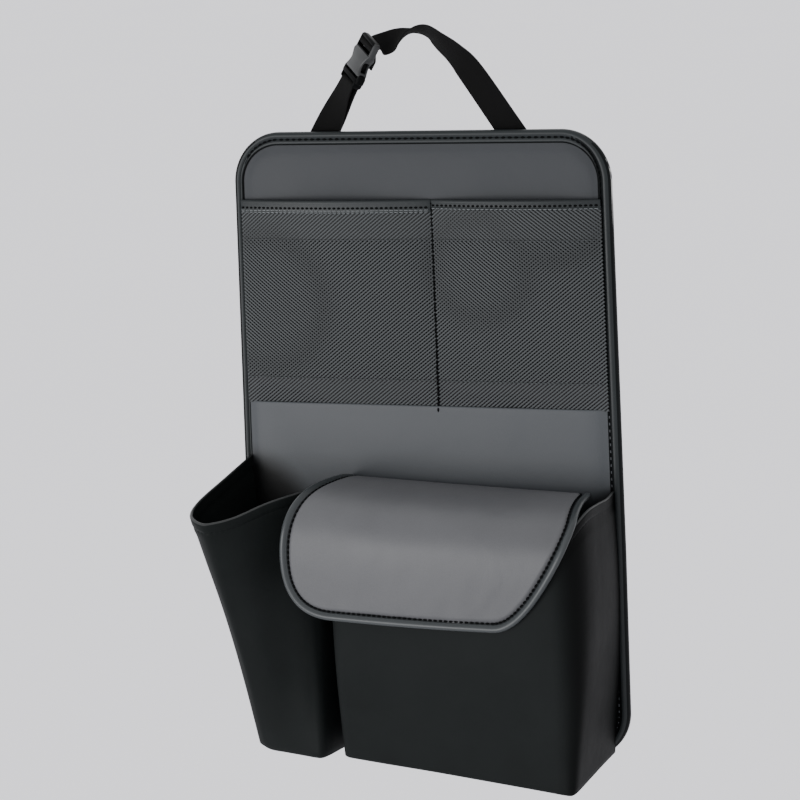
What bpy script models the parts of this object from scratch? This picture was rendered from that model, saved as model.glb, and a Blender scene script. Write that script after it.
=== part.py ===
"""Seat-back storage bag of grey and black artificial leather.

A stiffened rounded panel hangs from a headrest on a webbing strap with a side-release buckle.
It carries two mesh pockets, a tapered cup pocket and a large pocket under a leather flap.

Frame: X to the right, +Y towards the seat, +Z up, metres.
The origin is the middle of the panel's rear face. The bag's front faces -Y.
"""
import math

import bmesh
import bpy
from mathutils import Matrix, Vector

# Panel
PANEL_WIDTH = 0.370
PANEL_HEIGHT = 0.574
PANEL_RADIUS = 0.046
GAP = 0.0003
LINING = 0.0008
BOARD = 0.0030
COVER = 0.0010
OVERLAY = 0.0010
OVERLAY_TOP = 0.037
OVERLAY_TOP_RADIUS = 0.003

# Edge binding, a tape folded over the panel's edge
BINDING_WIDTH = 0.0070
BINDING_NOSE = 0.0024
BINDING_TAPE = 0.0012

# Mesh pockets
MESH_TOP = 0.2255
MESH_SEAM_X = 0.035 * PANEL_WIDTH
MESH_THICKNESS = 0.0008
MESH_SLACK = 0.0110
MESH_TOP_OFFSET = 0.0014
MESH_ROWS = 8
MESH_CELL = 0.0240
MESH_HOLE_SHARE = 0.72
MESH_TRIM_WIDTH = 0.0115
MESH_TRIM_NOSE = 0.0012
MESH_TRIM_TAPE = 0.0008

# Leather of the two lower pockets
WALL = 0.0014
FOOT_PLATE = 0.0016
MOUTH_BAND_WIDTH = 0.0085
MOUTH_BAND_NOSE = 0.0012
MOUTH_BAND_TAPE = 0.0008

# Cup pocket, seen from above: the corners of its mouth and of its foot
CUP_BACK_INSET = 0.0085
CUP_BACK_LEFT_X = CUP_BACK_INSET - PANEL_WIDTH / 2
CUP_MOUTH_DEPTH = 0.170
CUP_MOUTH_SPREAD = 0.0135
CUP_MOUTH_LEFT_Z = -0.0150
CUP_MOUTH_FRONT_Z = -0.0590
CUP_MOUTH_WAIST_Z = -0.0350
CUP_MOUTH_RIGHT_Z = -0.0400
CUP_MOUTH_CUT = 0.075
CUP_WIDTH = 0.2919 * PANEL_WIDTH
CUP_WAIST_SHARE = 0.82
CUP_WAIST_DEPTH = 0.066
CUP_WAIST_CUT = 0.030
CUP_FOOT_Z = -0.2795
CUP_FOOT_DEPTH_LEFT = 0.062
CUP_FOOT_DEPTH_RIGHT = 0.084
CUP_FOOT_INSET_LEFT = 0.0190
CUP_FOOT_INSET_RIGHT = 0.0170
CUP_FOOT_BACK_INSET = 0.0040
CUP_FOOT_CUT = 0.012

# Main pocket
MAIN_CLEARANCE = 0.0065
MAIN_LEFT_X = CUP_BACK_LEFT_X + CUP_WIDTH + MAIN_CLEARANCE
MAIN_BACK_INSET = 0.0105
MAIN_RIGHT_X = PANEL_WIDTH / 2 - MAIN_BACK_INSET
MAIN_MOUTH_Z = -0.0380
MAIN_MOUTH_DROP = 0.0350
MAIN_DEPTH_LEFT = 0.107
MAIN_DEPTH_RIGHT = 0.116
MAIN_MOUTH_CUT_LEFT = 0.024
MAIN_MOUTH_CUT_RIGHT = 0.046
MAIN_FOOT_BACK_Z = -0.2785
MAIN_FOOT_FRONT_LEFT_Z = -0.2750
MAIN_FOOT_FRONT_RIGHT_Z = -0.2880
MAIN_FOOT_DEPTH_LEFT = 0.078
MAIN_FOOT_DEPTH_RIGHT = 0.110
MAIN_FOOT_SPREAD_LEFT = 0.0050
MAIN_FOOT_INSET_RIGHT = 0.0110
MAIN_FOOT_INSET_BACK = 0.0050
MAIN_FOOT_CUT = 0.010
POCKET_BULGE = 0.0040

# Flap
FLAP_SEAM_LEFT_Z = -0.0325
FLAP_SEAM_RIGHT_Z = -0.0430
FLAP_COVER = 0.0012
FLAP_LINING = 0.0008
FLAP_CLEARANCE = 0.0090
FLAP_ROOF_LEFT = 0.0085
FLAP_ROOF_RIGHT = 0.0045
FLAP_HEM_Z = -0.1390
FLAP_HEM_LEFT_SHARE = 0.955
FLAP_HEM_RIGHT_SHARE = 0.985
FLAP_OVERHANG_LEFT = 0.0150
FLAP_SEAM_LEFT_X = MAIN_LEFT_X - FLAP_OVERHANG_LEFT
FLAP_BACK_INSET_RIGHT = 0.0145
FLAP_SEAM_RIGHT_X = MAIN_RIGHT_X - FLAP_BACK_INSET_RIGHT
FLAP_FLARE_LEFT = 0.0260
FLAP_FLARE_RIGHT = 0.0150
FLAP_CORNER_LEFT = 0.045
FLAP_CORNER_RIGHT = 0.076
FLAP_CORNER_LEFT_SHARE = 0.75
FLAP_CORNER_RIGHT_SHARE = 0.45
FLAP_CORNER_FORM_LEFT = 1.15
FLAP_CORNER_FORM_RIGHT = 0.82
FLAP_BINDING_WIDTH = 0.0070
FLAP_BINDING_NOSE = 0.0018
FLAP_BINDING_TAPE = 0.0009
FLAP_SLOT_CLEARANCE = 0.0009

# Webbing and buckle
WEBBING_WIDTH = 0.0250
WEBBING = 0.0015
STRAP_TAIL = 0.022
STRAP_CLEARANCE = 0.00055
STRAP_LEFT_X = -0.2486 * PANEL_WIDTH
STRAP_RIGHT_X = 0.2351 * PANEL_WIDTH
STRAP_LEAN = math.radians(59.0)
BUCKLE_RISE = 0.0500
BUCKLE_TURN = math.radians(40.0)
SOCKET_WIDTH = 0.0298
PLUG_WIDTH = 0.0330
BUCKLE_BODY = 0.0095
BUCKLE_FRAME = 0.0062
BUCKLE_WALL = 0.0016
SOCKET_LENGTH = 0.0362
SOCKET_CAVITY = 0.0195
PLUG_BASE = 0.0105
PLUG_BLADE = 0.0046
PLUG_CLEARANCE = 0.0005
PLUG_ARM = 0.0030
PLUG_GUIDE = 0.0024
PLUG_LATCH = 0.0006
PLUG_LEAD = 0.0010
BUCKLE_CHAMFER = 0.0008
BAR = 0.0024
LOOP_MIDDLE = 0.00275
LOOP_OUTER = LOOP_MIDDLE + WEBBING / 2 + GAP
SLOT_SIGHT = 0.0016
SLOT_CLEARANCE = 0.0004
SOCKET_BAR_Z = 0.0290
WAIST_SHARE = 0.78
CAVITY_SHARE = 0.66
STRAP_FREE_END = 0.0180

# The arch of the long strap: share of the way to its foot, share of the rise, distance behind
# the panel's rear face, direction of the webbing's width
ARCH = (
    (0.038, 0.985, 0.0130, (0.36, -0.55, -0.74)),
    (0.108, 1.021, 0.0150, (0.34, -0.60, -0.72)),
    (0.192, 1.073, 0.0135, (0.33, -0.88, -0.33)),
    (0.283, 1.110, 0.0110, (0.38, -0.91, 0.15)),
    (0.397, 1.102, 0.0085, (0.35, -0.80, 0.49)),
    (0.500, 0.991, 0.0060, (0.52, -0.66, 0.54)),
    (0.614, 0.845, 0.0045, (0.70, -0.46, 0.55)),
    (0.734, 0.622, 0.0038, (0.79, -0.12, 0.60)),
)
STRAP_FOOT_ACROSS = (0.79, 0.0, 0.61)

# Where the layers of the panel lie, counted from its rear face towards the front
BOARD_BACK = LINING + GAP
COVER_BACK = BOARD_BACK + BOARD + GAP
COVER_FRONT = COVER_BACK + COVER
OVERLAY_BACK = COVER_FRONT + GAP
OVERLAY_FRONT = OVERLAY_BACK + OVERLAY
SEWN_DEPTH = OVERLAY_FRONT + 2 * GAP
INNER_HALF_WIDTH = PANEL_WIDTH / 2 - BINDING_WIDTH - GAP
PANEL_TOP = PANEL_HEIGHT / 2

# How finely curves are drawn
CORNER_STEPS = 7
FLAP_COLUMNS = 10
FLAP_ROWS = 14
WALL_ROWS = 7
SLOPE_STEP = 0.02


def clear_scene():
    for item in list(bpy.data.objects):
        bpy.data.objects.remove(item, do_unlink=True)


def make_material(name, colour, roughness, metallic=0.0):
    material = bpy.data.materials.new(name)
    material.use_nodes = True
    shader = material.node_tree.nodes["Principled BSDF"]
    shader.inputs["Base Color"].default_value = (*colour, 1.0)
    shader.inputs["Roughness"].default_value = roughness
    shader.inputs["Metallic"].default_value = metallic
    material.diffuse_color = (*colour, 1.0)
    return material


def add_object(name, mesh_builder, material, parent=None):
    """Turn a bmesh into an object of the given name, with its faces pointing out."""
    bmesh.ops.recalc_face_normals(mesh_builder, faces=mesh_builder.faces)
    mesh = bpy.data.meshes.new(name)
    mesh_builder.to_mesh(mesh)
    mesh_builder.free()
    mesh.materials.append(material)
    item = bpy.data.objects.new(name, mesh)
    bpy.context.collection.objects.link(item)
    item.parent = parent
    return item


def smooth(item, angle=math.radians(35)):
    item.data.shade_smooth()
    item.data.set_sharp_from_angle(angle=angle)


def ring_faces(mesh_builder, first, second):
    count = len(first)
    for index in range(count):
        following = (index + 1) % count
        mesh_builder.faces.new((first[index], first[following], second[following], second[index]))


def sweep(name, stations, section, material, closed=False, parent=None):
    """Carry a section along stations of (point, across, normal).

    Each point of the section is (distance across, distance along the normal).
    """
    builder = bmesh.new()
    rings = []
    for point, across, normal in stations:
        rings.append([builder.verts.new(point + a * across + n * normal) for a, n in section])
    for first, second in zip(rings, rings[1:]):
        ring_faces(builder, first, second)
    if closed:
        ring_faces(builder, rings[-1], rings[0])
    else:
        builder.faces.new(rings[0])
        builder.faces.new(rings[-1])
    item = add_object(name, builder, material, parent)
    smooth(item)
    return item


def folded_tape(width, nose, tape, slot_low, slot_high, steps=4):
    """Section of a tape folded round an edge, with its open slot facing -across."""
    low = slot_low - tape
    high = slot_high + tape
    middle = (low + high) / 2
    half = (high - low) / 2
    points = [(GAP - width, low)]
    for step in range(steps + 1):
        angle = -math.pi / 2 + math.pi * step / steps
        points.append((GAP + nose * math.cos(angle), middle + half * math.sin(angle)))
    points += [(GAP - width, high), (GAP - width, slot_high), (GAP, slot_high), (GAP, slot_low)]
    points.append((GAP - width, slot_low))
    return points


def rounded_outline(left, right, low, high, radius_low, radius_high):
    """Corner points of a rounded rectangle in X and Z, each with its outward direction."""
    corners = (
        (right - radius_low, low + radius_low, radius_low, -90),
        (right - radius_high, high - radius_high, radius_high, 0),
        (left + radius_high, high - radius_high, radius_high, 90),
        (left + radius_low, low + radius_low, radius_low, 180),
    )
    outline = []
    for centre_x, centre_z, radius, start in corners:
        for step in range(CORNER_STEPS + 1):
            angle = math.radians(start + 90 * step / CORNER_STEPS)
            outward = Vector((math.cos(angle), 0.0, math.sin(angle)))
            outline.append((Vector((centre_x, 0.0, centre_z)) + radius * outward, outward))
    return outline


def plate(name, outline, back, front, material):
    """A flat layer of the panel; back and front are distances from the rear face."""
    builder = bmesh.new()
    rear = [builder.verts.new(point - Vector((0, back, 0))) for point, _ in outline]
    fore = [builder.verts.new(point - Vector((0, front, 0))) for point, _ in outline]
    ring_faces(builder, rear, fore)
    builder.faces.new(rear)
    builder.faces.new(fore)
    return add_object(name, builder, material)


def panel_outline(inset):
    return rounded_outline(
        inset - PANEL_WIDTH / 2, PANEL_WIDTH / 2 - inset, inset - PANEL_TOP, PANEL_TOP - inset,
        PANEL_RADIUS - inset, PANEL_RADIUS - inset)


def build_panel(grey, black, board):
    sandwich = panel_outline(BINDING_NOSE + GAP)
    plate("back_lining", panel_outline(BINDING_WIDTH + GAP), 0.0, LINING, black)
    plate("stiffener_board", sandwich, BOARD_BACK, BOARD_BACK + BOARD, board)
    plate("front_cover", sandwich, COVER_BACK, COVER_FRONT, grey)
    overlay = rounded_outline(
        -INNER_HALF_WIDTH, INNER_HALF_WIDTH, BINDING_WIDTH + GAP - PANEL_TOP, OVERLAY_TOP,
        PANEL_RADIUS - BINDING_WIDTH - GAP, OVERLAY_TOP_RADIUS)
    plate("lower_cover", overlay, OVERLAY_BACK, OVERLAY_FRONT, grey)


def build_edge_binding(trim):
    front = Vector((0, -1, 0))
    stations = [(point, outward, front) for point, outward in panel_outline(BINDING_NOSE + GAP)]
    flat_width = BINDING_WIDTH - BINDING_NOSE
    section = folded_tape(flat_width, BINDING_NOSE, BINDING_TAPE, -GAP, COVER_FRONT + GAP, 6)
    sweep("edge_binding", stations, section, trim, closed=True)


def mesh_point(x, z, left, right):
    """A point on the rear of a mesh pocket, which stands off the cover most at its mouth."""
    across = min(max((x - left) / (right - left), 0.0), 1.0)
    up = min(max((z - OVERLAY_TOP) / (MESH_TOP - OVERLAY_TOP), 0.0), 1.0)
    slack = MESH_SLACK * math.sin(math.pi * across) * math.sin(math.pi / 2 * up)
    return Vector((x, -(COVER_FRONT + GAP + MESH_TOP_OFFSET * up + slack), z))


def build_mesh_pocket(name, left, right, material):
    """A sheet of diamond holes. Each cell keeps its four corners and gets a diamond cut out."""
    low = OVERLAY_TOP + GAP
    high = MESH_TOP - MESH_TRIM_NOSE - GAP
    columns = max(3, round((right - left) / MESH_CELL))
    step_x = (right - left) / columns
    step_z = (high - low) / MESH_ROWS
    builder = bmesh.new()

    def vertex(x, z):
        return builder.verts.new(mesh_point(x, z, left, right))

    corners = [[vertex(left + step_x * column, low + step_z * row) for column in range(columns + 1)]
               for row in range(MESH_ROWS + 1)]
    for row in range(MESH_ROWS):
        for column in range(columns):
            x = left + step_x * (column + 0.5)
            z = low + step_z * (row + 0.5)
            reach_x = step_x / 2 * MESH_HOLE_SHARE
            reach_z = step_z / 2 * MESH_HOLE_SHARE
            diamond = [vertex(x, z - reach_z), vertex(x + reach_x, z),
                       vertex(x, z + reach_z), vertex(x - reach_x, z)]
            square = [corners[row][column], corners[row][column + 1],
                      corners[row + 1][column + 1], corners[row + 1][column]]
            for side in range(4):
                following = (side + 1) % 4
                builder.faces.new((square[side], square[following], diamond[side]))
                builder.faces.new((square[following], diamond[following], diamond[side]))
    item = add_object(name, builder, material)
    if item.data.polygons[0].normal.y > 0:
        item.data.flip_normals()
    thicken = item.modifiers.new("thickness", "SOLIDIFY")
    thicken.thickness = MESH_THICKNESS
    thicken.offset = 1.0
    return item


def build_mesh_trim(name, left, right, material):
    """The leather tape folded over the mouth of a mesh pocket."""
    edge = MESH_TOP - MESH_TRIM_NOSE - GAP
    steps = 10
    stations = []
    spacing = (right - left) / steps
    points = [mesh_point(left + spacing * step, edge, left, right) for step in range(steps + 1)]
    up = Vector((0, 0, 1))
    for step, point in enumerate(points):
        if step in (0, steps):
            along = Vector((1, 0, 0))
        else:
            along = (points[step + 1] - points[step - 1]).normalized()
        stations.append((point, up, along.cross(up)))
    section = folded_tape(MESH_TRIM_WIDTH, MESH_TRIM_NOSE, MESH_TRIM_TAPE, -GAP, MESH_THICKNESS + GAP)
    sweep(name, stations, section, material)


def rounded_run(corners, cuts, leg_steps):
    """Points along an open run of straight legs whose inner corners are rounded off."""
    points = []
    start = corners[0]
    for index, cut in enumerate(cuts):
        corner = corners[index + 1]
        following = corners[index + 2]
        arrive = corner + (corners[index] - corner).normalized() * cut
        leave = corner + (following - corner).normalized() * cut
        for step in range(leg_steps):
            points.append(start.lerp(arrive, step / leg_steps))
        for step in range(CORNER_STEPS):
            share = step / CORNER_STEPS
            points.append(arrive.lerp(corner, share).lerp(corner.lerp(leave, share), share))
        start = leave
    for step in range(leg_steps + 1):
        points.append(start.lerp(corners[-1], step / leg_steps))
    return points


def pocket_grid(mouth, foot, bulge):
    """Rows of points from the mouth of a pocket to its foot, bowed out in between."""
    rows = []
    for row in range(WALL_ROWS + 1):
        share = row / WALL_ROWS
        points = []
        for index, (high, low) in enumerate(zip(mouth, foot)):
            point = high.lerp(low, share)
            along = index / (len(mouth) - 1)
            bow = bulge * math.sin(math.pi * share) * math.sin(math.pi * along)
            point.y -= bow
            points.append(point)
        rows.append(points)
    return rows


def grid_normals(rows, outward):
    """Normals of a grid, turned towards the side that outward points to."""
    normals = []
    for r, row in enumerate(rows):
        line = []
        for c in range(len(row)):
            down = rows[min(r + 1, len(rows) - 1)][c] - rows[max(r - 1, 0)][c]
            along = row[min(c + 1, len(row) - 1)] - row[max(c - 1, 0)]
            line.append(along.cross(down).normalized())
        normals.append(line)
    middle = normals[len(rows) // 2][len(rows[0]) // 2]
    if middle.dot(outward) < 0:
        normals = [[-normal for normal in line] for line in normals]
    return normals


def slab(name, rows, normals, low, high, material):
    """A sheet between two offsets of a grid of points."""
    builder = bmesh.new()
    layers = []
    for offset in (low, high):
        layers.append([[builder.verts.new(point + normal * offset) for point, normal in zip(line, directions)]
                       for line, directions in zip(rows, normals)])
    height = len(rows)
    width = len(rows[0])
    for layer in layers:
        for r in range(height - 1):
            for c in range(width - 1):
                builder.faces.new((layer[r][c], layer[r][c + 1], layer[r + 1][c + 1], layer[r + 1][c]))
    edge = [(0, c) for c in range(width)] + [(r, width - 1) for r in range(1, height)]
    edge += [(height - 1, c) for c in range(width - 2, -1, -1)] + [(r, 0) for r in range(height - 2, 0, -1)]
    ring_faces(builder, [layers[0][r][c] for r, c in edge], [layers[1][r][c] for r, c in edge])
    item = add_object(name, builder, material)
    smooth(item)
    return item


def build_pocket(prefix, mouth, foot, leather, bulge):
    """The wall, the mouth band and the foot plate of one pocket."""
    rows = pocket_grid(mouth, foot, bulge)
    normals = grid_normals(rows, Vector((0, -1, 0)))
    for line in normals:
        for end in (0, -1):
            line[end] = Vector((line[end].x, 0.0, line[end].z)).normalized()
    slab(prefix + "_wall", rows, normals, -WALL, 0.0, leather)

    stations = []
    for point, below, normal in zip(rows[0], rows[1], normals[0]):
        up = (point - below).normalized()
        up = (up - normal * up.dot(normal)).normalized()
        stations.append((point, up, normal))
    section = folded_tape(MOUTH_BAND_WIDTH, MOUTH_BAND_NOSE, MOUTH_BAND_TAPE, -WALL - 2 * GAP, 2 * GAP)
    sweep(prefix + "_mouth_band", stations, section, leather)

    builder = bmesh.new()
    inset = WALL + 2 * GAP
    lift = Vector((0, 0, GAP))
    low_ring = [builder.verts.new(point - normal * inset + lift)
                for point, normal in zip(rows[-1], normals[-1])]
    top = Vector((0, 0, FOOT_PLATE))
    high_ring = [builder.verts.new(vertex.co + top) for vertex in low_ring]
    ring_faces(builder, low_ring, high_ring)
    builder.faces.new(low_ring)
    builder.faces.new(high_ring)
    add_object(prefix + "_foot", builder, leather)


def build_cup_pocket(leather):
    right_x = CUP_BACK_LEFT_X + CUP_WIDTH
    waist_x = CUP_BACK_LEFT_X + CUP_WIDTH * CUP_WAIST_SHARE
    mouth = rounded_run([
        Vector((CUP_BACK_LEFT_X, -SEWN_DEPTH, CUP_MOUTH_LEFT_Z)),
        Vector((CUP_BACK_LEFT_X - CUP_MOUTH_SPREAD, -CUP_MOUTH_DEPTH, CUP_MOUTH_FRONT_Z)),
        Vector((waist_x, -CUP_WAIST_DEPTH, CUP_MOUTH_WAIST_Z)),
        Vector((right_x, -SEWN_DEPTH, CUP_MOUTH_RIGHT_Z)),
    ], (CUP_MOUTH_CUT, CUP_WAIST_CUT), 4)
    left_foot = CUP_BACK_LEFT_X + CUP_FOOT_INSET_LEFT
    right_foot = right_x - CUP_FOOT_INSET_RIGHT
    foot = rounded_run([
        Vector((CUP_BACK_LEFT_X + CUP_FOOT_BACK_INSET, -SEWN_DEPTH, CUP_FOOT_Z)),
        Vector((left_foot, -CUP_FOOT_DEPTH_LEFT, CUP_FOOT_Z)),
        Vector((right_foot, -CUP_FOOT_DEPTH_RIGHT, CUP_FOOT_Z)),
        Vector((right_x - CUP_FOOT_BACK_INSET, -SEWN_DEPTH, CUP_FOOT_Z)),
    ], (CUP_FOOT_CUT, CUP_FOOT_CUT), 4)
    build_pocket("cup_pocket", mouth, foot, leather, POCKET_BULGE / 2)


def build_main_pocket(leather):
    front_z = MAIN_MOUTH_Z - MAIN_MOUTH_DROP
    mouth = rounded_run([
        Vector((MAIN_LEFT_X, -SEWN_DEPTH, MAIN_MOUTH_Z)),
        Vector((MAIN_LEFT_X, -MAIN_DEPTH_LEFT, front_z)),
        Vector((MAIN_RIGHT_X, -MAIN_DEPTH_RIGHT, front_z)),
        Vector((MAIN_RIGHT_X, -SEWN_DEPTH, MAIN_MOUTH_Z)),
    ], (MAIN_MOUTH_CUT_LEFT, MAIN_MOUTH_CUT_RIGHT), 5)
    foot_right_x = MAIN_RIGHT_X - MAIN_FOOT_INSET_RIGHT
    foot_right = Vector((foot_right_x, -MAIN_FOOT_DEPTH_RIGHT, MAIN_FOOT_FRONT_RIGHT_Z))
    foot_back = Vector((MAIN_RIGHT_X - MAIN_FOOT_INSET_BACK, -SEWN_DEPTH, MAIN_FOOT_BACK_Z))
    foot = rounded_run([
        Vector((MAIN_LEFT_X, -SEWN_DEPTH, MAIN_FOOT_BACK_Z)),
        Vector((MAIN_LEFT_X - MAIN_FOOT_SPREAD_LEFT, -MAIN_FOOT_DEPTH_LEFT, MAIN_FOOT_FRONT_LEFT_Z)),
        foot_right,
        foot_back,
    ], (MAIN_FOOT_CUT, MAIN_FOOT_CUT), 5)
    build_pocket("main_pocket", mouth, foot, leather, POCKET_BULGE)


def smooth_curve(points, share):
    """A point on the smooth curve through the given points; share runs from 0 to 1."""
    spans = len(points) - 1
    place = min(max(share, 0.0), 1.0) * spans
    index = min(int(place), spans - 1)
    t = place - index
    p1 = points[index]
    p2 = points[index + 1]
    p0 = points[index - 1] if index > 0 else p1 + (p1 - p2)
    p3 = points[index + 2] if index + 2 <= spans else p2 + (p2 - p1)
    return 0.5 * ((2 * p1) + (p2 - p0) * t + (2 * p0 - 5 * p1 + 4 * p2 - p3) * t ** 2
                  + (3 * p1 - p0 - 3 * p2 + p3) * t ** 3)


def flap_side(depth, seam_x, seam_z, roof, flare, hem_reach):
    """Points down one side of the flap: seam, roof, shoulder, front and hem."""
    reach = depth - SEWN_DEPTH
    fall = FLAP_HEM_Z - seam_z

    def point(out, rise, drop, spread):
        height = seam_z + rise * roof + drop * fall
        return Vector((seam_x + spread * flare, -SEWN_DEPTH - out * reach, height))

    return [
        point(0.00, 0.00, 0.00, 0.00),
        point(0.21, 0.95, 0.00, 0.30),
        point(0.48, 1.00, 0.00, 0.50),
        point(0.72, 0.70, 0.02, 0.75),
        point(0.89, 0.00, 0.12, 0.88),
        point(0.98, 0.00, 0.27, 0.96),
        point(1.00, 0.00, 0.47, 1.00),
        point((2 + hem_reach) / 3, 0.00, 0.68, 1.00),
        point(hem_reach, 0.00, 1.00, 1.00),
    ]


def curve_slope(points, share):
    """The direction in which the smooth curve runs at a share of its length."""
    before = smooth_curve(points, max(share - SLOPE_STEP, 0.0))
    return smooth_curve(points, min(share + SLOPE_STEP, 1.0)) - before


def flap_grid():
    """Rows of points from the seam to the hem, and their normals.

    The last rows draw in at both ends to round the corners.
    """
    left = flap_side(MAIN_DEPTH_LEFT + FLAP_CLEARANCE, FLAP_SEAM_LEFT_X, FLAP_SEAM_LEFT_Z,
                     FLAP_ROOF_LEFT, -FLAP_FLARE_LEFT, FLAP_HEM_LEFT_SHARE)
    right = flap_side(MAIN_DEPTH_RIGHT + FLAP_CLEARANCE, FLAP_SEAM_RIGHT_X, FLAP_SEAM_RIGHT_Z,
                      FLAP_ROOF_RIGHT, FLAP_FLARE_RIGHT, FLAP_HEM_RIGHT_SHARE)
    straight_rows = FLAP_ROWS - CORNER_STEPS
    rows = []
    normals = []
    for row in range(FLAP_ROWS + 1):
        down = min(row / straight_rows, 1.0)
        turn = max(row - straight_rows, 0) / CORNER_STEPS * math.pi / 2
        share_left = down * FLAP_CORNER_LEFT_SHARE + (1 - FLAP_CORNER_LEFT_SHARE) * math.sin(turn)
        share_right = down * FLAP_CORNER_RIGHT_SHARE + (1 - FLAP_CORNER_RIGHT_SHARE) * math.sin(turn)
        start = smooth_curve(left, share_left)
        end = smooth_curve(right, share_right)
        facing_left = curve_slope(left, share_left).cross(end - start).normalized()
        facing_right = curve_slope(right, share_right).cross(end - start).normalized()
        along = (end - start).normalized()
        start += along * (FLAP_CORNER_LEFT * (1 - math.cos(turn)) ** FLAP_CORNER_FORM_LEFT)
        end -= along * (FLAP_CORNER_RIGHT * (1 - math.cos(turn)) ** FLAP_CORNER_FORM_RIGHT)
        shares = [column / FLAP_COLUMNS for column in range(FLAP_COLUMNS + 1)]
        rows.append([start.lerp(end, share) for share in shares])
        normals.append([facing_left.lerp(facing_right, share).normalized() for share in shares])
    return rows, normals


def build_flap(grey, black, trim):
    rows, normals = flap_grid()
    normals[0] = [Vector((0, 0, 1)) for _ in normals[0]]
    half = GAP / 2
    slab("flap_cover", rows, normals, half, half + FLAP_COVER, grey)
    slab("flap_lining", rows, normals, -half - FLAP_LINING, -half, black)

    last = FLAP_COLUMNS
    edge = [(r, 0) for r in range(FLAP_ROWS)] + [(FLAP_ROWS, c) for c in range(last + 1)]
    edge += [(r, last) for r in range(FLAP_ROWS - 1, -1, -1)]
    stations = []
    for index, (r, c) in enumerate(edge):
        before = edge[max(index - 1, 0)]
        after = edge[min(index + 1, len(edge) - 1)]
        along = rows[after[0]][after[1]] - rows[before[0]][before[1]]
        normal = normals[r][c]
        outward = normal.cross(along).normalized()
        if r == 0:
            outward = Vector((-1.0 if c == 0 else 1.0, 0.0, 0.0))
        stations.append((rows[r][c], outward, normal))
    middle = stations[len(stations) // 2]
    if middle[1].z > 0:
        stations = [(p, -outward if 0 < i < len(stations) - 1 else outward, n)
                    for i, (p, outward, n) in enumerate(stations)]
    section = folded_tape(FLAP_BINDING_WIDTH, FLAP_BINDING_NOSE, FLAP_BINDING_TAPE,
                          -half - FLAP_LINING - FLAP_SLOT_CLEARANCE, half + FLAP_COVER + FLAP_SLOT_CLEARANCE)
    sweep("flap_binding", stations, section, trim)


def buckle_frame():
    """The empty on the buckle's axis: its X is across, -Y is the buckle's face, Z leads up the strap."""
    axis = Vector((math.cos(STRAP_LEAN), 0.0, math.sin(STRAP_LEAN)))
    flat_across = Vector((math.sin(STRAP_LEAN), 0.0, -math.cos(STRAP_LEAN)))
    back = Vector((0.0, 1.0, 0.0))
    across = math.cos(BUCKLE_TURN) * flat_across - math.sin(BUCKLE_TURN) * back
    behind = axis.cross(across)
    place = Vector((STRAP_LEFT_X, strap_back(), PANEL_TOP)) + axis * (BUCKLE_RISE + PLUG_BASE)
    turn = Matrix((across, behind, axis)).transposed().to_4x4()
    empty = bpy.data.objects.new("buckle_axis", None)
    bpy.context.collection.objects.link(empty)
    empty.matrix_world = Matrix.Translation(place) @ turn
    return empty


def strap_back():
    """How far behind the panel's rear face the middle of the webbing lies."""
    return GAP + BINDING_TAPE + STRAP_CLEARANCE + WEBBING + GAP / 2


def box(builder, low, high):
    corners = [Vector((x, y, z))
               for x in (low[0], high[0]) for y in (low[1], high[1]) for z in (low[2], high[2])]
    verts = [builder.verts.new(corner) for corner in corners]
    for face in ((0, 1, 3, 2), (4, 6, 7, 5), (0, 4, 5, 1), (2, 3, 7, 6), (0, 2, 6, 4), (1, 5, 7, 3)):
        builder.faces.new([verts[index] for index in face])


def cut(item, low, high):
    """Cut a box out of an item that shares the buckle's axes."""
    builder = bmesh.new()
    box(builder, low, high)
    guide = add_object(f"{item.name}_cut_{len(item.modifiers)}", builder, None, item.parent)
    guide.hide_render = True
    guide.display_type = "WIRE"
    opening = item.modifiers.new("opening", "BOOLEAN")
    opening.operation = "DIFFERENCE"
    opening.solver = "EXACT"
    opening.object = guide


def station_body(name, stations, chamfer, material, parent):
    """A body along Z whose half width and half depth change from station to station."""
    builder = bmesh.new()
    rings = []
    for z, half_width, half_depth in stations:
        ring = []
        for x, y in ((1, -1), (1, 1), (-1, 1), (-1, -1)):
            on_side = (x * half_width, y * (half_depth - chamfer))
            on_face = (x * (half_width - chamfer), y * half_depth)
            pair = (on_face, on_side) if x * y < 0 else (on_side, on_face)
            ring += [builder.verts.new((px, py, z)) for px, py in pair]
        rings.append(ring)
    for first, second in zip(rings, rings[1:]):
        ring_faces(builder, first, second)
    builder.faces.new(rings[0])
    builder.faces.new(rings[-1])
    return add_object(name, builder, material, parent)


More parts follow.
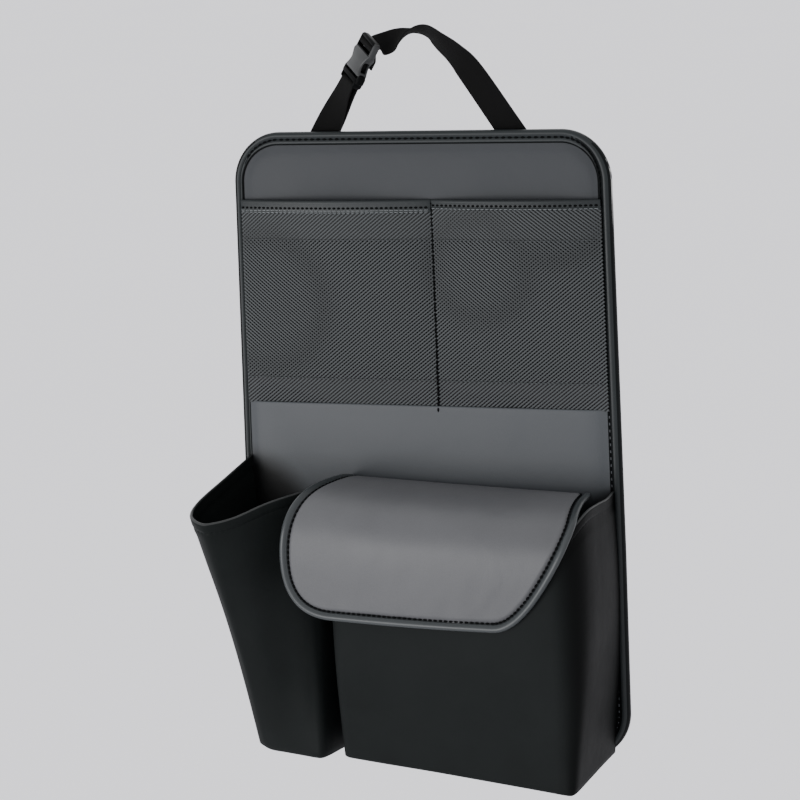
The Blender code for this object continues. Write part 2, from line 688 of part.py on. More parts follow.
def build_socket(plastic, axis):
    half = SOCKET_WIDTH / 2
    body = BUCKLE_BODY / 2
    frame = BUCKLE_FRAME / 2
    window_low = SOCKET_CAVITY * 0.30
    window_high = SOCKET_CAVITY * 0.80
    stations = (
        (0.0, half * 0.94, body * 0.92),
        (SOCKET_CAVITY * 0.12, half, body),
        (window_low, half * 0.90, body),
        (SOCKET_CAVITY * 0.50, half * WAIST_SHARE, body),
        (SOCKET_CAVITY * 0.66, half * WAIST_SHARE, body),
        (SOCKET_CAVITY, half * 0.97, body),
        (SOCKET_BAR_Z - LOOP_OUTER - SLOT_SIGHT, half, frame),
        (SOCKET_LENGTH - 0.0020, half, frame),
        (SOCKET_LENGTH, half * 0.88, frame * 0.85),
    )
    socket = station_body("buckle_socket", stations, BUCKLE_CHAMFER, plastic, axis)
    cavity = half * CAVITY_SHARE
    hollow = body - BUCKLE_WALL
    beyond = SOCKET_WIDTH
    cut(socket, (-cavity, -hollow, -beyond), (cavity, hollow, SOCKET_CAVITY))
    window = hollow - GAP
    cut(socket, (cavity * 0.5, -window, window_low), (beyond, window, window_high))
    cut(socket, (-beyond, -window, window_low), (-cavity * 0.5, window, window_high))
    slot = WEBBING_WIDTH / 2 + SLOT_CLEARANCE
    low = SOCKET_BAR_Z - LOOP_OUTER - SLOT_SIGHT
    high = SOCKET_BAR_Z + LOOP_OUTER
    cut(socket, (-slot, -beyond, low), (slot, beyond, SOCKET_BAR_Z - BAR / 2))
    cut(socket, (-slot, -beyond, SOCKET_BAR_Z + BAR / 2), (slot, beyond, high))
    cut(socket, (-slot, -beyond, low), (slot, -BAR / 2, high))
    cut(socket, (-slot, BAR / 2, low), (slot, beyond, high))


def build_plug(plastic, axis):
    half = PLUG_WIDTH / 2
    inner = SOCKET_WIDTH / 2
    cavity = inner * CAVITY_SHARE
    depth = BUCKLE_BODY / 2
    arm_outer = cavity - PLUG_CLEARANCE
    arm_inner = arm_outer - PLUG_ARM
    window_low = SOCKET_CAVITY * 0.30 + PLUG_CLEARANCE
    window_high = SOCKET_CAVITY * 0.80 - PLUG_CLEARANCE
    latch = inner * WAIST_SHARE + PLUG_LATCH
    end = SOCKET_CAVITY - 2 * PLUG_CLEARANCE
    root = -GAP - PLUG_ARM
    window = window_high - window_low
    outline = [(arm_outer, root), (arm_outer, window_low), (latch, window_low + 0.25 * window),
               (latch, window_low + 0.66 * window), (arm_outer, window_high), (arm_inner, end - PLUG_LEAD),
               (arm_inner, GAP), (PLUG_GUIDE, GAP), (PLUG_GUIDE, end)]
    outline += [(-x, z) for x, z in reversed(outline)]
    builder = bmesh.new()
    blade = PLUG_BLADE / 2
    front = [builder.verts.new((x, -blade, z)) for x, z in outline]
    rear = [builder.verts.new((x, blade, z)) for x, z in outline]
    ring_faces(builder, front, rear)
    builder.faces.new(front)
    builder.faces.new(rear)
    fork = add_object("plug_fork", builder, plastic, axis)
    fork.hide_render = True
    fork.display_type = "WIRE"

    frame = BUCKLE_FRAME / 2
    stations = (
        (-PLUG_BASE, half * 0.90, frame * 0.85),
        (-PLUG_BASE * 0.80, half, frame),
        (-PLUG_BASE * 0.30, half * 0.98, frame),
        (-GAP, half * 0.90, depth * 0.90),
    )
    plug = station_body("buckle_plug", stations, BUCKLE_CHAMFER, plastic, axis)
    join = plug.modifiers.new("fork", "BOOLEAN")
    join.operation = "UNION"
    join.solver = "EXACT"
    join.object = fork
    slot = WEBBING_WIDTH / 2 + SLOT_CLEARANCE
    bar_z = -PLUG_BASE + BAR / 2
    beyond = PLUG_WIDTH
    cut(plug, (-slot, -beyond, bar_z + BAR / 2), (slot, beyond, bar_z + LOOP_OUTER))
    cut(plug, (-slot, -beyond, -beyond), (slot, -BAR / 2, bar_z + BAR / 2 + GAP))
    cut(plug, (-slot, BAR / 2, -beyond), (slot, beyond, bar_z + BAR / 2 + GAP))


def webbing_stations(points, widths):
    """Sweep stations for a ribbon: a centre line and the direction of its width at each point."""
    stations = []
    for index, (point, width) in enumerate(zip(points, widths)):
        along = points[min(index + 1, len(points) - 1)] - points[max(index - 1, 0)]
        along.normalize()
        across = (width - along * width.dot(along)).normalized()
        stations.append((point, across, along.cross(across).normalized()))
    return stations


def ribbon_section():
    half = WEBBING_WIDTH / 2
    edge = WEBBING / 2
    return [(-half, -edge * 0.5), (-half + edge, -edge), (half - edge, -edge), (half, -edge * 0.5),
            (half, edge * 0.5), (half - edge, edge), (-half + edge, edge), (-half, edge * 0.5)]


def build_short_strap(cloth):
    """Two layers from the panel's back, joined where they turn round the bar of the plug."""
    axis = Vector((math.cos(STRAP_LEAN), 0.0, math.sin(STRAP_LEAN)))
    flat_across = Vector((math.sin(STRAP_LEAN), 0.0, -math.cos(STRAP_LEAN)))
    back = Vector((0.0, 1.0, 0.0))
    foot = Vector((STRAP_LEFT_X, strap_back(), PANEL_TOP))
    bar_rise = BUCKLE_RISE + BAR / 2
    layer = WEBBING / 2 + GAP / 2

    path = []
    steps = 7
    for step in range(steps + 1):
        share = step / steps
        rise = -STRAP_TAIL + (bar_rise + STRAP_TAIL) * share
        spread = smooth_step(rise / bar_rise)
        path.append((rise, -(layer + (LOOP_MIDDLE - layer) * spread)))
    turn = [(bar_rise + LOOP_MIDDLE * math.sin(a), -LOOP_MIDDLE * math.cos(a))
            for a in [math.pi * s / 8 for s in range(1, 8)]]
    path += turn + [(rise, -out) for rise, out in reversed(path)]

    points = []
    widths = []
    for rise, out in path:
        angle = BUCKLE_TURN * smooth_step(2 * rise / BUCKLE_RISE - 1)
        across = math.cos(angle) * flat_across - math.sin(angle) * back
        behind = axis.cross(across)
        points.append(foot + axis * rise + behind * out)
        widths.append(across)
    sweep("strap_short", webbing_stations(points, widths), ribbon_section(), cloth)


def smooth_step(share):
    share = min(max(share, 0.0), 1.0)
    return share * share * (3 - 2 * share)


def build_long_strap(cloth, axis):
    """From a tail behind the socket, round its bar, over the twisted arch and down to the panel's back."""
    frame = axis.matrix_world
    across = frame.to_3x3() @ Vector((1, 0, 0))
    behind = BUCKLE_BODY / 2 + GAP + WEBBING
    bar = SOCKET_BAR_Z
    points = [frame @ Vector((0, behind, bar - STRAP_FREE_END)), frame @ Vector((0, behind, SOCKET_CAVITY))]
    points.append(frame @ Vector((0, BUCKLE_FRAME / 2, bar - LOOP_MIDDLE - 2 * GAP)))
    for step in range(9):
        angle = math.pi * step / 8
        round_bar = Vector((0, -LOOP_MIDDLE * math.sin(angle), bar - LOOP_MIDDLE * math.cos(angle)))
        points.append(frame @ round_bar)
    points.append(frame @ Vector((0, BUCKLE_FRAME / 2, bar + LOOP_MIDDLE - GAP)))
    widths = [across] * len(points)

    start = frame @ Vector((0, BUCKLE_FRAME / 2 + 1.6 * WEBBING, bar + LOOP_MIDDLE + 0.8 * WEBBING))
    foot_back = GAP + BINDING_TAPE + STRAP_CLEARANCE + WEBBING / 2
    foot = Vector((STRAP_RIGHT_X, foot_back, PANEL_TOP))
    route = [start]
    turns = [across]
    for along, rise, back, width in ARCH:
        route.append(Vector((
            start.x + (foot.x - start.x) * along, back, PANEL_TOP + (start.z - PANEL_TOP) * rise)))
        turns.append(Vector(width))
    route.append(foot)
    turns.append(Vector(STRAP_FOOT_ACROSS))
    steps = 26
    for step in range(steps + 1):
        points.append(smooth_curve(route, step / steps))
        widths.append(smooth_curve(turns, step / steps).normalized())
    down = (foot - route[-2])
    down.y = 0.0
    points.append(foot + down.normalized() * STRAP_TAIL)
    widths.append(turns[-1])
    sweep("strap_long", webbing_stations(points, widths), ribbon_section(), cloth)


def main():
    clear_scene()
    grey = make_material("grey_leather", (0.105, 0.110, 0.118), 0.52)
    pale = make_material("flap_leather", (0.150, 0.152, 0.158), 0.50)
    black = make_material("black_leather", (0.016, 0.018, 0.019), 0.48)
    trim = make_material("binding_tape", (0.090, 0.098, 0.104), 0.45)
    board = make_material("board", (0.30, 0.30, 0.29), 0.85)
    net = make_material("mesh_cloth", (0.060, 0.066, 0.070), 0.75)
    cloth = make_material("webbing", (0.012, 0.012, 0.012), 0.85)
    plastic = make_material("buckle_plastic", (0.045, 0.050, 0.054), 0.38)

    build_panel(grey, black, board)
    build_edge_binding(trim)
    seam = GAP
    for side, left, right in (("left", -INNER_HALF_WIDTH, MESH_SEAM_X - seam),
                              ("right", MESH_SEAM_X + seam, INNER_HALF_WIDTH)):
        build_mesh_pocket("mesh_pocket_" + side, left, right, net)
        build_mesh_trim("mesh_trim_" + side, left, right, trim)
    build_cup_pocket(black)
    build_main_pocket(black)
    build_flap(pale, black, trim)
    axis = buckle_frame()
    build_socket(plastic, axis)
    build_plug(plastic, axis)
    build_short_strap(cloth)
    build_long_strap(cloth, axis)


main()
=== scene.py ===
# %% Load the frame
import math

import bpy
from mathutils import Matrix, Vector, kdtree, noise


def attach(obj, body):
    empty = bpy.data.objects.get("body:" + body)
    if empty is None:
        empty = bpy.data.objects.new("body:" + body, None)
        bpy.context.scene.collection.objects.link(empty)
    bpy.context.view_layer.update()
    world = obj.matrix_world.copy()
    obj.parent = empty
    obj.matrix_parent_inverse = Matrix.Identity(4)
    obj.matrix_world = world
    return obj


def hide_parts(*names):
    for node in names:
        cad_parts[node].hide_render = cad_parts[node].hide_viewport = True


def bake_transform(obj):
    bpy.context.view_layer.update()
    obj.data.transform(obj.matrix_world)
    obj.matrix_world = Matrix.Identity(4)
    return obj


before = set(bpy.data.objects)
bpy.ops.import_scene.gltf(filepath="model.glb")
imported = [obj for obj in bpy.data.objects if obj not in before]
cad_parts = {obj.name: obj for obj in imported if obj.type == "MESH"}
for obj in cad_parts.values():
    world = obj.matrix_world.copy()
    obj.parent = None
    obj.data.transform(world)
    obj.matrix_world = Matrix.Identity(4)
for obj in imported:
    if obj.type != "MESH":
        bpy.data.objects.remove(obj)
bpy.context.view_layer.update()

# %% [markdown]
# # A seat-back storage bag
# The bag hangs from a headrest. Its stiff panel, buckle and plain solids come from the CAD frame.
# This script dresses them: leather sheets with a soft swell, rolled bindings with stitches, a fine
# net, woven webbing and a moulded buckle. Every sheet starts as a plain grid and is then draped by a
# small function, the way a maker would lay a cut piece over its pattern.

MM = 0.001


def clamp(value, low=0.0, high=1.0):
    return min(max(value, low), high)


def ease(value):
    value = clamp(value)
    return value * value * (3 - 2 * value)


def mix(a, b, share):
    return a + (b - a) * share


def through(points, share):
    """A point on a smooth curve through the given points; share runs from 0 to 1."""
    spans = len(points) - 1
    place = clamp(share) * spans
    index = min(int(place), spans - 1)
    t = place - index
    p1, p2 = points[index], points[index + 1]
    p0 = points[index - 1] if index else p1 * 2 - p2
    p3 = points[index + 2] if index + 2 <= spans else p2 * 2 - p1
    return (p1 * 2 + (p2 - p0) * t + (p0 * 2 - p1 * 5 + p2 * 4 - p3) * t ** 2
            + (p1 * 3 - p0 - p2 * 3 + p3) * t ** 3) * 0.5


# %% [markdown]
# ## One way to make every sheet
# A cut piece of leather or cloth is flat before it is sewn. Here it starts as Blender's grid
# primitive, and a shape function says where each point of the flat piece ends up. The grid's own UV
# map stays with it, so a weave can follow a twisted strap. Solidify gives the sheet its thickness.

# %% Sheets, bands and thickness
def deselect():
    if bpy.context.object and bpy.context.object.mode != "OBJECT":
        bpy.ops.object.mode_set(mode="OBJECT")
    bpy.ops.object.select_all(action="DESELECT")


def only(piece):
    """Select this piece alone, and make it the active one."""
    deselect()
    piece.select_set(True)
    bpy.context.view_layer.objects.active = piece


def piece_from(name, vertices, faces):
    """A new piece from its points and faces."""
    data = bpy.data.meshes.new(name)
    data.from_pydata(vertices, [], faces)
    piece = bpy.data.objects.new(name, data)
    bpy.context.scene.collection.objects.link(piece)
    return piece


def sheet(name, columns, rows, shape):
    """A grid whose point at share (u, v) is laid at shape(u, v)."""
    deselect()
    bpy.ops.mesh.primitive_grid_add(x_subdivisions=columns, y_subdivisions=rows, size=1, calc_uvs=True)
    piece = bpy.context.object
    piece.name = name
    piece.data.name = name
    for vertex in piece.data.vertices:
        vertex.co = shape(vertex.co.x + 0.5, vertex.co.y + 0.5)
    return piece


def tidy_mesh(piece):
    """Merge the points that meet and turn all faces outwards."""
    only(piece)
    bpy.ops.object.mode_set(mode="EDIT")
    bpy.ops.mesh.select_all(action="SELECT")
    bpy.ops.mesh.remove_doubles(threshold=0.00001)
    bpy.ops.mesh.normals_make_consistent(inside=False)
    bpy.ops.object.mode_set(mode="OBJECT")


def modify(piece, kind, **settings):
    """Add a modifier with these settings and apply it."""
    modifier = piece.modifiers.new(kind.lower(), kind)
    for key, value in settings.items():
        setattr(modifier, key, value)
    only(piece)
    bpy.ops.object.modifier_apply(modifier=modifier.name)


def face_towards(piece, direction):
    """Turn a sheet's faces so that its middle one looks towards direction."""
    middle = piece.data.polygons[len(piece.data.polygons) // 2]
    if middle.normal.dot(Vector(direction)) < 0:
        piece.data.flip_normals()


def smooth(piece, degrees=50):
    only(piece)
    bpy.ops.object.shade_smooth_by_angle(angle=math.radians(degrees))


def dress(piece, material, slot, *nodes, body="bag"):
    """Give a finished piece its material and its place in the frame."""
    kinds = [face.material_index for face in piece.data.polygons]
    piece.data.materials.clear()
    for one in (material if isinstance(material, tuple) else (material,)):
        piece.data.materials.append(one)
    piece.data.polygons.foreach_set("material_index", kinds)
    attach(piece, body)
    if nodes:
        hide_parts(*nodes)
    print(piece.name, sum(len(p.vertices) - 2 for p in piece.data.polygons), "triangles")
    return piece


def band(name, stations, closed=False, second=()):
    """A tape or bead: rings of points joined one after another, open at its ends or closed in a loop.
    The strips of faces numbered in second take the piece's second material."""
    around = len(stations[0])
    last = len(stations) - 1

    def shape(u, v):
        along, turn = round(v * (last + closed)), round(u * around)
        return stations[along % (last + 1)][turn % around]

    piece = sheet(name, around, last + closed, shape)
    for face in piece.data.polygons:
        face.material_index = int(face.index % around in second)
    tidy_mesh(piece)
    if not closed:
        bpy.ops.object.mode_set(mode="EDIT")
        bpy.ops.mesh.select_all(action="DESELECT")
        bpy.ops.mesh.select_non_manifold()
        bpy.ops.mesh.fill_holes(sides=0)
        bpy.ops.mesh.select_all(action="SELECT")
        bpy.ops.mesh.normals_make_consistent(inside=False)
        bpy.ops.object.mode_set(mode="OBJECT")
    return piece


# %% [markdown]
# ## What every finish uses
# A finish is a small tree of shader nodes that ends in a Principled shader. These helpers add a node
# with its settings, read coordinates, turn a value into a colour or a bump, and darken a round zone.

# %% Helpers for the shader nodes
def start_material(name, colour, roughness, shine=0.5):
    material = bpy.data.materials.new(name)
    material.use_nodes = True
    tree = material.node_tree
    shader = tree.nodes["Principled BSDF"]
    shader.inputs["Base Color"].default_value = (*colour, 1)
    shader.inputs["Roughness"].default_value = roughness
    shader.inputs["Specular IOR Level"].default_value = shine
    material.diffuse_color = (*colour, 1)
    return material, tree, shader


def between(dark, light):
    return [(a + b) / 2 for a, b in zip(dark, light)]


def node(tree, kind, **values):
    """Add a node and set its properties or input sockets by name."""
    made = tree.nodes.new(kind)
    for key, value in values.items():
        if hasattr(made, key):
            setattr(made, key, value)
        else:
            made.inputs[key.replace("_", " ")].default_value = value
    return made


def coordinates(tree, stretch=(1, 1, 1), source="Object"):
    place = node(tree, "ShaderNodeTexCoord")
    mapping = node(tree, "ShaderNodeMapping")
    mapping.inputs["Scale"].default_value = stretch
    tree.links.new(place.outputs[source], mapping.inputs["Vector"])
    return mapping.outputs["Vector"]


def pattern(tree, at, kind, **values):
    """A texture node that reads the coordinates in at."""
    made = node(tree, "ShaderNodeTex" + kind, **values)
    tree.links.new(at, made.inputs["Vector"])
    return made


def ramp(tree, source, low, high, colour_low, colour_high):
    made = node(tree, "ShaderNodeValToRGB")
    made.color_ramp.elements[0].position = low
    made.color_ramp.elements[0].color = (*colour_low, 1)
    made.color_ramp.elements[1].position = high
    made.color_ramp.elements[1].color = (*colour_high, 1)
    tree.links.new(source, made.inputs["Fac"])
    return made.outputs["Color"]


def multiply(tree, colour, other):
    made = node(tree, "ShaderNodeMix", data_type="RGBA", blend_type="MULTIPLY")
    made.inputs[0].default_value = 1.0
    tree.links.new(colour, made.inputs[6])
    tree.links.new(other, made.inputs[7])
    return made.outputs[2]


def round_zone(tree, at, centre, first, last):
    """A value that goes from 0 to 1 while the distance from the centre goes from first to last."""
    away = node(tree, "ShaderNodeVectorMath", operation="DISTANCE")
    tree.links.new(at, away.inputs[0])
    away.inputs[1].default_value = centre
    zone = node(tree, "ShaderNodeMapRange", interpolation_type="SMOOTHSTEP", From_Min=first, From_Max=last)
    tree.links.new(away.outputs["Value"], zone.inputs["Value"])
    return zone.outputs["Result"]


def bump(tree, shader, height, strength, distance, under=None):
    made = node(tree, "ShaderNodeBump", Strength=strength, Distance=distance)
    tree.links.new(height, made.inputs["Height"])
    if under:
        tree.links.new(under.outputs["Normal"], made.inputs["Normal"])
    tree.links.new(made.outputs["Normal"], shader.inputs["Normal"])
    return made


# %% [markdown]
# ## Leather
# Artificial leather has a fine pebbled grain, a soft gloss that varies over the sheet, and slightly
# lighter raised places. One recipe makes all the leathers: a cell pattern for the grain, a slow noise
# for the tone and the gloss. All of it reads Object coordinates, so it sits still on each piece.

# %% The leather recipe
def leather(name, dark, light, gloss, grain=0.0006, depth=0.35, stretch=(1, 1, 1), creases=0.25, shine=0.25,
            painted_shade_zones=()):
    """Grain is the size of one pebble in metres; gloss is the lowest and highest roughness.
    Each entry of the last argument is a zone of painted shade: its centre, the radii where it is dark
    and where it has ended, and how deep the shade is."""
    material, tree, shader = start_material(name, between(dark, light), sum(gloss) / 2, shine)
    at = coordinates(tree, stretch)
    slow = pattern(tree, at, "Noise", Scale=9.0, Detail=4.0, Roughness=0.55)
    pebble = pattern(tree, at, "Voronoi", Scale=1 / grain, feature="F1")
    fold = pattern(tree, at, "Noise", Scale=55.0, Detail=3.0, Roughness=0.5)
    tone = ramp(tree, slow.outputs["Fac"], 0.32, 0.70, dark, light)
    speck = ramp(tree, pebble.outputs["Distance"], 0.0, 0.75, (1, 1, 1), (0.86, 0.86, 0.86))
    tint = multiply(tree, tone, speck)
    # Each zone darkens the colour as painted shade.
    for centre, first, last, deep in painted_shade_zones:
        zone = round_zone(tree, at, centre, first, last)
        tint = multiply(tree, tint, ramp(tree, zone, 0.0, 1.0, (deep,) * 3, (1, 1, 1)))
    tree.links.new(tint, shader.inputs["Base Color"])
    rough = node(tree, "ShaderNodeMapRange", From_Min=0.3, From_Max=0.7, To_Min=gloss[0], To_Max=gloss[1])
    tree.links.new(slow.outputs["Fac"], rough.inputs["Value"])
    tree.links.new(rough.outputs["Result"], shader.inputs["Roughness"])
    soft = bump(tree, shader, fold.outputs["Fac"], creases, 0.0012)
    fine = bump(tree, shader, pebble.outputs["Distance"], depth, 0.00012, soft)
    fine.invert = True
    return material


# %% [markdown]
# The covers are darker where the pockets stand over them, and so is the binding tape beside the cup
# pocket; the flap is darker where it hangs down in front, and the main pocket is darker on its right
# side. All of this is painted shade, and each of these is a round zone in the finish.

# %% Leathers and tapes
BEHIND_CUP, BEHIND_MAIN = (-0.190, -0.007, -0.085), (0.190, -0.007, -0.085)
grey_leather = leather("grey leather", (0.038, 0.0415, 0.0460), (0.0445, 0.0485, 0.0530), (0.46, 0.56),
                       shine=0.22,
                       painted_shade_zones=((BEHIND_CUP, 0.060, 0.088, 0.04), (BEHIND_MAIN, 0.044, 0.058, 0.05)))
# The shaded leather is the grey leather made darker: painted shade on the cover's strip above the net.
shaded_leather = leather("shaded leather", (0.0195, 0.0215, 0.0245), (0.0245, 0.0268, 0.0300), (0.46, 0.56),
                         shine=0.17)
flap_leather = leather("flap leather", (0.074, 0.0755, 0.080), (0.087, 0.0885, 0.093), (0.44, 0.54),
                       grain=0.0005, depth=0.45, stretch=(1, 1, 0.45), creases=0.4,
                       painted_shade_zones=(((0.04, 1.0, 0.36), 1.205, 1.160, 0.73),))
black_leather = leather("black leather", (0.0047, 0.0058, 0.0057), (0.0075, 0.0088, 0.0088), (0.50, 0.60),
                        creases=0.3, shine=0.05, painted_shade_zones=(((-1.0, -0.06, -0.16), 1.178, 1.155, 0.2),))
# The leather of the lips is the black leather made lighter: a painted highlight along the pockets' lips.
lip_highlight_leather = leather("lip leather with painted highlight", (0.013, 0.0145, 0.0145), (0.019, 0.021, 0.021), (0.40, 0.50), shine=0.3)
tape = leather("binding tape", (0.0095, 0.0118, 0.0125), (0.0140, 0.0168, 0.0178), (0.36, 0.46), grain=0.0004,
               depth=0.25, shine=0.16, painted_shade_zones=((BEHIND_CUP, 0.056, 0.084, 0.05),))
# The tape on the upright sides is a darker copy of the binding tape, as painted shade.
shaded_side_tape = leather("binding tape in painted shade on the upright sides", (0.0030, 0.0038, 0.0041), (0.0045, 0.0055, 0.0058),
                    (0.36, 0.46), grain=0.0004, depth=0.25, shine=0.06)
flap_tape = leather("flap tape", (0.020, 0.0235, 0.0250), (0.029, 0.0330, 0.0350), (0.34, 0.44), grain=0.0004,
                    depth=0.25, shine=0.3)
# The flap's groove is a darker copy of the flap tape, as painted shade.
flap_groove_shade = leather("flap tape in painted shade in the groove", (0.010, 0.0115, 0.0125), (0.015, 0.017, 0.018), (0.5, 0.6), shine=0.06)
# The groove beside the binding is painted nearly black, as its shadow.
groove_shadow = leather("painted shadow in the binding's groove", (0.0015, 0.0017, 0.0018), (0.0028, 0.0031, 0.0032),
                         (0.6, 0.7), shine=0.03)
# The cover behind the net is painted nearly black, as the shade that lies behind the net.
painted_shade_behind_net = leather("painted shade behind the net", (0.0025, 0.0028, 0.0030), (0.0040, 0.0045, 0.0048),
                         (0.6, 0.7), shine=0.05)
print("leathers", len(bpy.data.materials))

# %% [markdown]
# ## Thread
# Sewing thread is twisted, so its light and dark run in slanting bands. The same bands lift it.

# %% Threads
def thread(name, colour, shine=0.4):
    material, tree, shader = start_material(name, colour, 0.7, shine)
    twist = pattern(tree, coordinates(tree), "Wave", wave_type="BANDS", bands_direction="DIAGONAL",
                    Scale=900.0)
    lightest = [min(1, c * 1.5) for c in colour]
    tone = ramp(tree, twist.outputs["Fac"], 0.2, 0.8, [c * 0.6 for c in colour], lightest)
    tree.links.new(tone, shader.inputs["Base Color"])
    bump(tree, shader, twist.outputs["Fac"], 0.5, 0.0002)
    return material


black_thread = thread("black thread", (0.0016, 0.0018, 0.0020), 0.04)
# The pale thread's colour is a painted highlight on the net trims' folded lower edge.
highlight_thread = thread("pale thread for a painted highlight", (0.150, 0.160, 0.165))
net_hem_thread = thread("net hem thread", (0.030, 0.033, 0.035))
pocket_hem_thread = thread("hem thread", (0.055, 0.060, 0.062))
print("threads", black_thread.name, highlight_thread.name, net_hem_thread.name, pocket_hem_thread.name, sep=", ")

# %% [markdown]
# ## Woven cloth and webbing
# A plain weave is two crossed waves, one for each set of threads. The lining's weave reads Object
# coordinates. The webbing's reads the ribbon's own UV map, because it has to follow every twist.

# %% Cloth
def woven(name, dark, light, pitch, source="Object", sheen=0.2):
    material, tree, shader = start_material(name, between(dark, light), 0.82, 0.1)
    shader.inputs["Sheen Weight"].default_value = sheen
    at = coordinates(tree, source=source) if source == "Object" else coordinates(tree, pitch, source)
    scale = 1.0 if source == "UV" else 0.3 / pitch
    cross = node(tree, "ShaderNodeMath", operation="MULTIPLY")
    for i, direction in enumerate(("X", "Y" if source == "UV" else "Z")):
        wave = pattern(tree, at, "Wave", wave_type="BANDS", bands_direction=direction, Scale=scale)
        tree.links.new(wave.outputs["Fac"], cross.inputs[i])
    tree.links.new(ramp(tree, cross.outputs["Value"], 0.05, 0.75, dark, light), shader.inputs["Base Color"])
    bump(tree, shader, cross.outputs["Value"], 0.6, 0.0003)
    return material


lining_cloth = woven("lining cloth", (0.005, 0.0055, 0.006), (0.012, 0.013, 0.014), 0.0012, sheen=0.05)
webbing = woven("webbing", (0.0006, 0.0006, 0.0006), (0.0045, 0.0045, 0.0045), (46, 260, 1), source="UV",
                sheen=0.0)
print("cloths", lining_cloth.name, "and", webbing.name)

# %% [markdown]
# ## Moulded plastic
# The buckle is moulded, so its tone drifts slowly and its skin is finely speckled by the mould.

# %% Plastics
def moulded(name, dark, light, shine=0.4):
    material, tree, shader = start_material(name, light, 0.36, shine)
    speckle = pattern(tree, coordinates(tree), "Noise", Scale=900.0, Detail=2.0)
    slow = pattern(tree, coordinates(tree), "Noise", Scale=60.0, Detail=2.0)
    tree.links.new(ramp(tree, slow.outputs["Fac"], 0.35, 0.65, dark, light), shader.inputs["Base Color"])
    bump(tree, shader, speckle.outputs["Fac"], 0.25, 0.00008)
    return material


buckle_plastic = moulded("buckle plastic", (0.0095, 0.0105, 0.011), (0.015, 0.0165, 0.017))
# The second plastic is the buckle plastic made darker, as painted shade on the plug and the socket's frame.
shaded_buckle_plastic = moulded("buckle plastic in painted shade", (0.0012, 0.0013, 0.0014), (0.0025, 0.0028, 0.0030), 0.04)
board_sheet = moulded("board", (0.26, 0.26, 0.25), (0.32, 0.32, 0.31))
print("finishes in all", len(bpy.data.materials))

# %% [markdown]
# ## The panel's outline
# The panel is a rounded rectangle of 370 by 574 mm that widens a little to its foot, as sewn panels
# do. One function walks round its edge, and another says how far any point lies inside that edge.

# %% Walking round the panel's edge
HALF_WIDTH, HALF_HEIGHT, RADIUS = 0.185, 0.287, 0.046
COVER_FRONT, OVERLAY_FRONT, OVERLAY_TOP = 0.0054, 0.0067, 0.037
MESH_TOP = 0.2255
SEWN = 0.0073
FRONT, REAR = Vector((0, -1, 0)), Vector((0, 1, 0))


def widen(point):
    """Let the panel's sides lean: narrower at the top, wider at the foot."""
    up = clamp((point.z + 0.095) / 0.335, 0, 1.15)
    side = (mix(0.0029, -0.0027, up) if point.x < 0 else mix(0.0, -0.0028, up)) / HALF_WIDTH
    return Vector((point.x * (1 + side), point.y, point.z))


def edge_walk(step):
    """Points round the edge, a step apart, each with its outward direction and the distance walked."""
    straight_x, straight_z = 2 * (HALF_WIDTH - RADIUS), 2 * (HALF_HEIGHT - RADIUS)
    arc = math.pi / 2 * RADIUS
    total = 2 * straight_x + 2 * straight_z + 4 * arc
    count = round(total / step)
    cx, cz = HALF_WIDTH - RADIUS, HALF_HEIGHT - RADIUS
    sides = ((straight_x, (-cx, HALF_HEIGHT), (1, 0)), (arc, (cx, cz), 90),
             (straight_z, (HALF_WIDTH, cz), (0, -1)), (arc, (cx, -cz), 0),
             (straight_x, (cx, -HALF_HEIGHT), (-1, 0)), (arc, (-cx, -cz), -90),
             (straight_z, (-HALF_WIDTH, -cz), (0, 1)), (arc, (-cx, cz), 180))
    walk = []
    for i in range(count):
        place = travelled = total * i / count
        for length, start, way in sides:
            if place <= length:
                break
            place -= length
        if isinstance(way, tuple):
            point = Vector((start[0] + way[0] * place, 0, start[1] + way[1] * place))
            outward = Vector((-way[1], 0, way[0]))
        else:
            angle = math.radians(way) - place / RADIUS
            outward = Vector((math.cos(angle), 0, math.sin(angle)))
            point = Vector((start[0], 0, start[1])) + outward * RADIUS
        walk.append((point, outward, travelled))
    return walk, total


def inside(x, z):
    """How far a point lies inside the panel's edge."""
    dx, dz = abs(x) - (HALF_WIDTH - RADIUS), abs(z) - (HALF_HEIGHT - RADIUS)
    return RADIUS - math.hypot(max(dx, 0), max(dz, 0)) - min(max(dx, dz), 0)


def reach(z, inset):
    """Half the width of the panel at this height, counted inset from its edge."""
    radius, half = RADIUS - inset, HALF_WIDTH - inset
    dz = abs(z) - (HALF_HEIGHT - inset - radius)
    if dz <= 0:
        return half
    return half - radius + math.sqrt(max(radius * radius - dz * dz, 0.0))


walk, edge_length = edge_walk(0.00125)
print("edge", round(edge_length, 3), "m in", len(walk), "steps")

# %% [markdown]
# ## The panel's covers
# Under the leather lies a thin foam, so the cover swells up from the binding within a centimetre and
# then lies nearly flat. The lower cover is a second layer whose top edge is folded under.

# %% Front cover
COVER_INSET, COVER_SINK, COVER_SWELL = 0.0045, 0.0006, 0.0016
BESIDE_STRIP, BESIDE_BEAD = 0.0120, 0.0092


def swell(x, z, height, width=0.005):
    """How far the foam lifts the leather: nothing beside the binding, the full height further in."""
    soft = noise.noise(Vector((x * 9, 3.1, z * 9))) * 0.0004
    begins = BESIDE_STRIP if x > 0 or z > 0.2 else BESIDE_BEAD
    grown = 1 - math.exp(-max(inside(x, z) - begins, 0) / width)
    return height * grown + soft * grown


def front_cover_shape(u, v):
    z = mix(-1, 1, v) * (HALF_HEIGHT - COVER_INSET)
    x = mix(-1, 1, u) * reach(z, COVER_INSET)
    return widen(Vector((x, -COVER_FRONT + COVER_SINK - swell(x, z, COVER_SWELL), z)))


front_cover = sheet("front_leather", 90, 130, front_cover_shape)
face_towards(front_cover, FRONT)
smooth(front_cover)
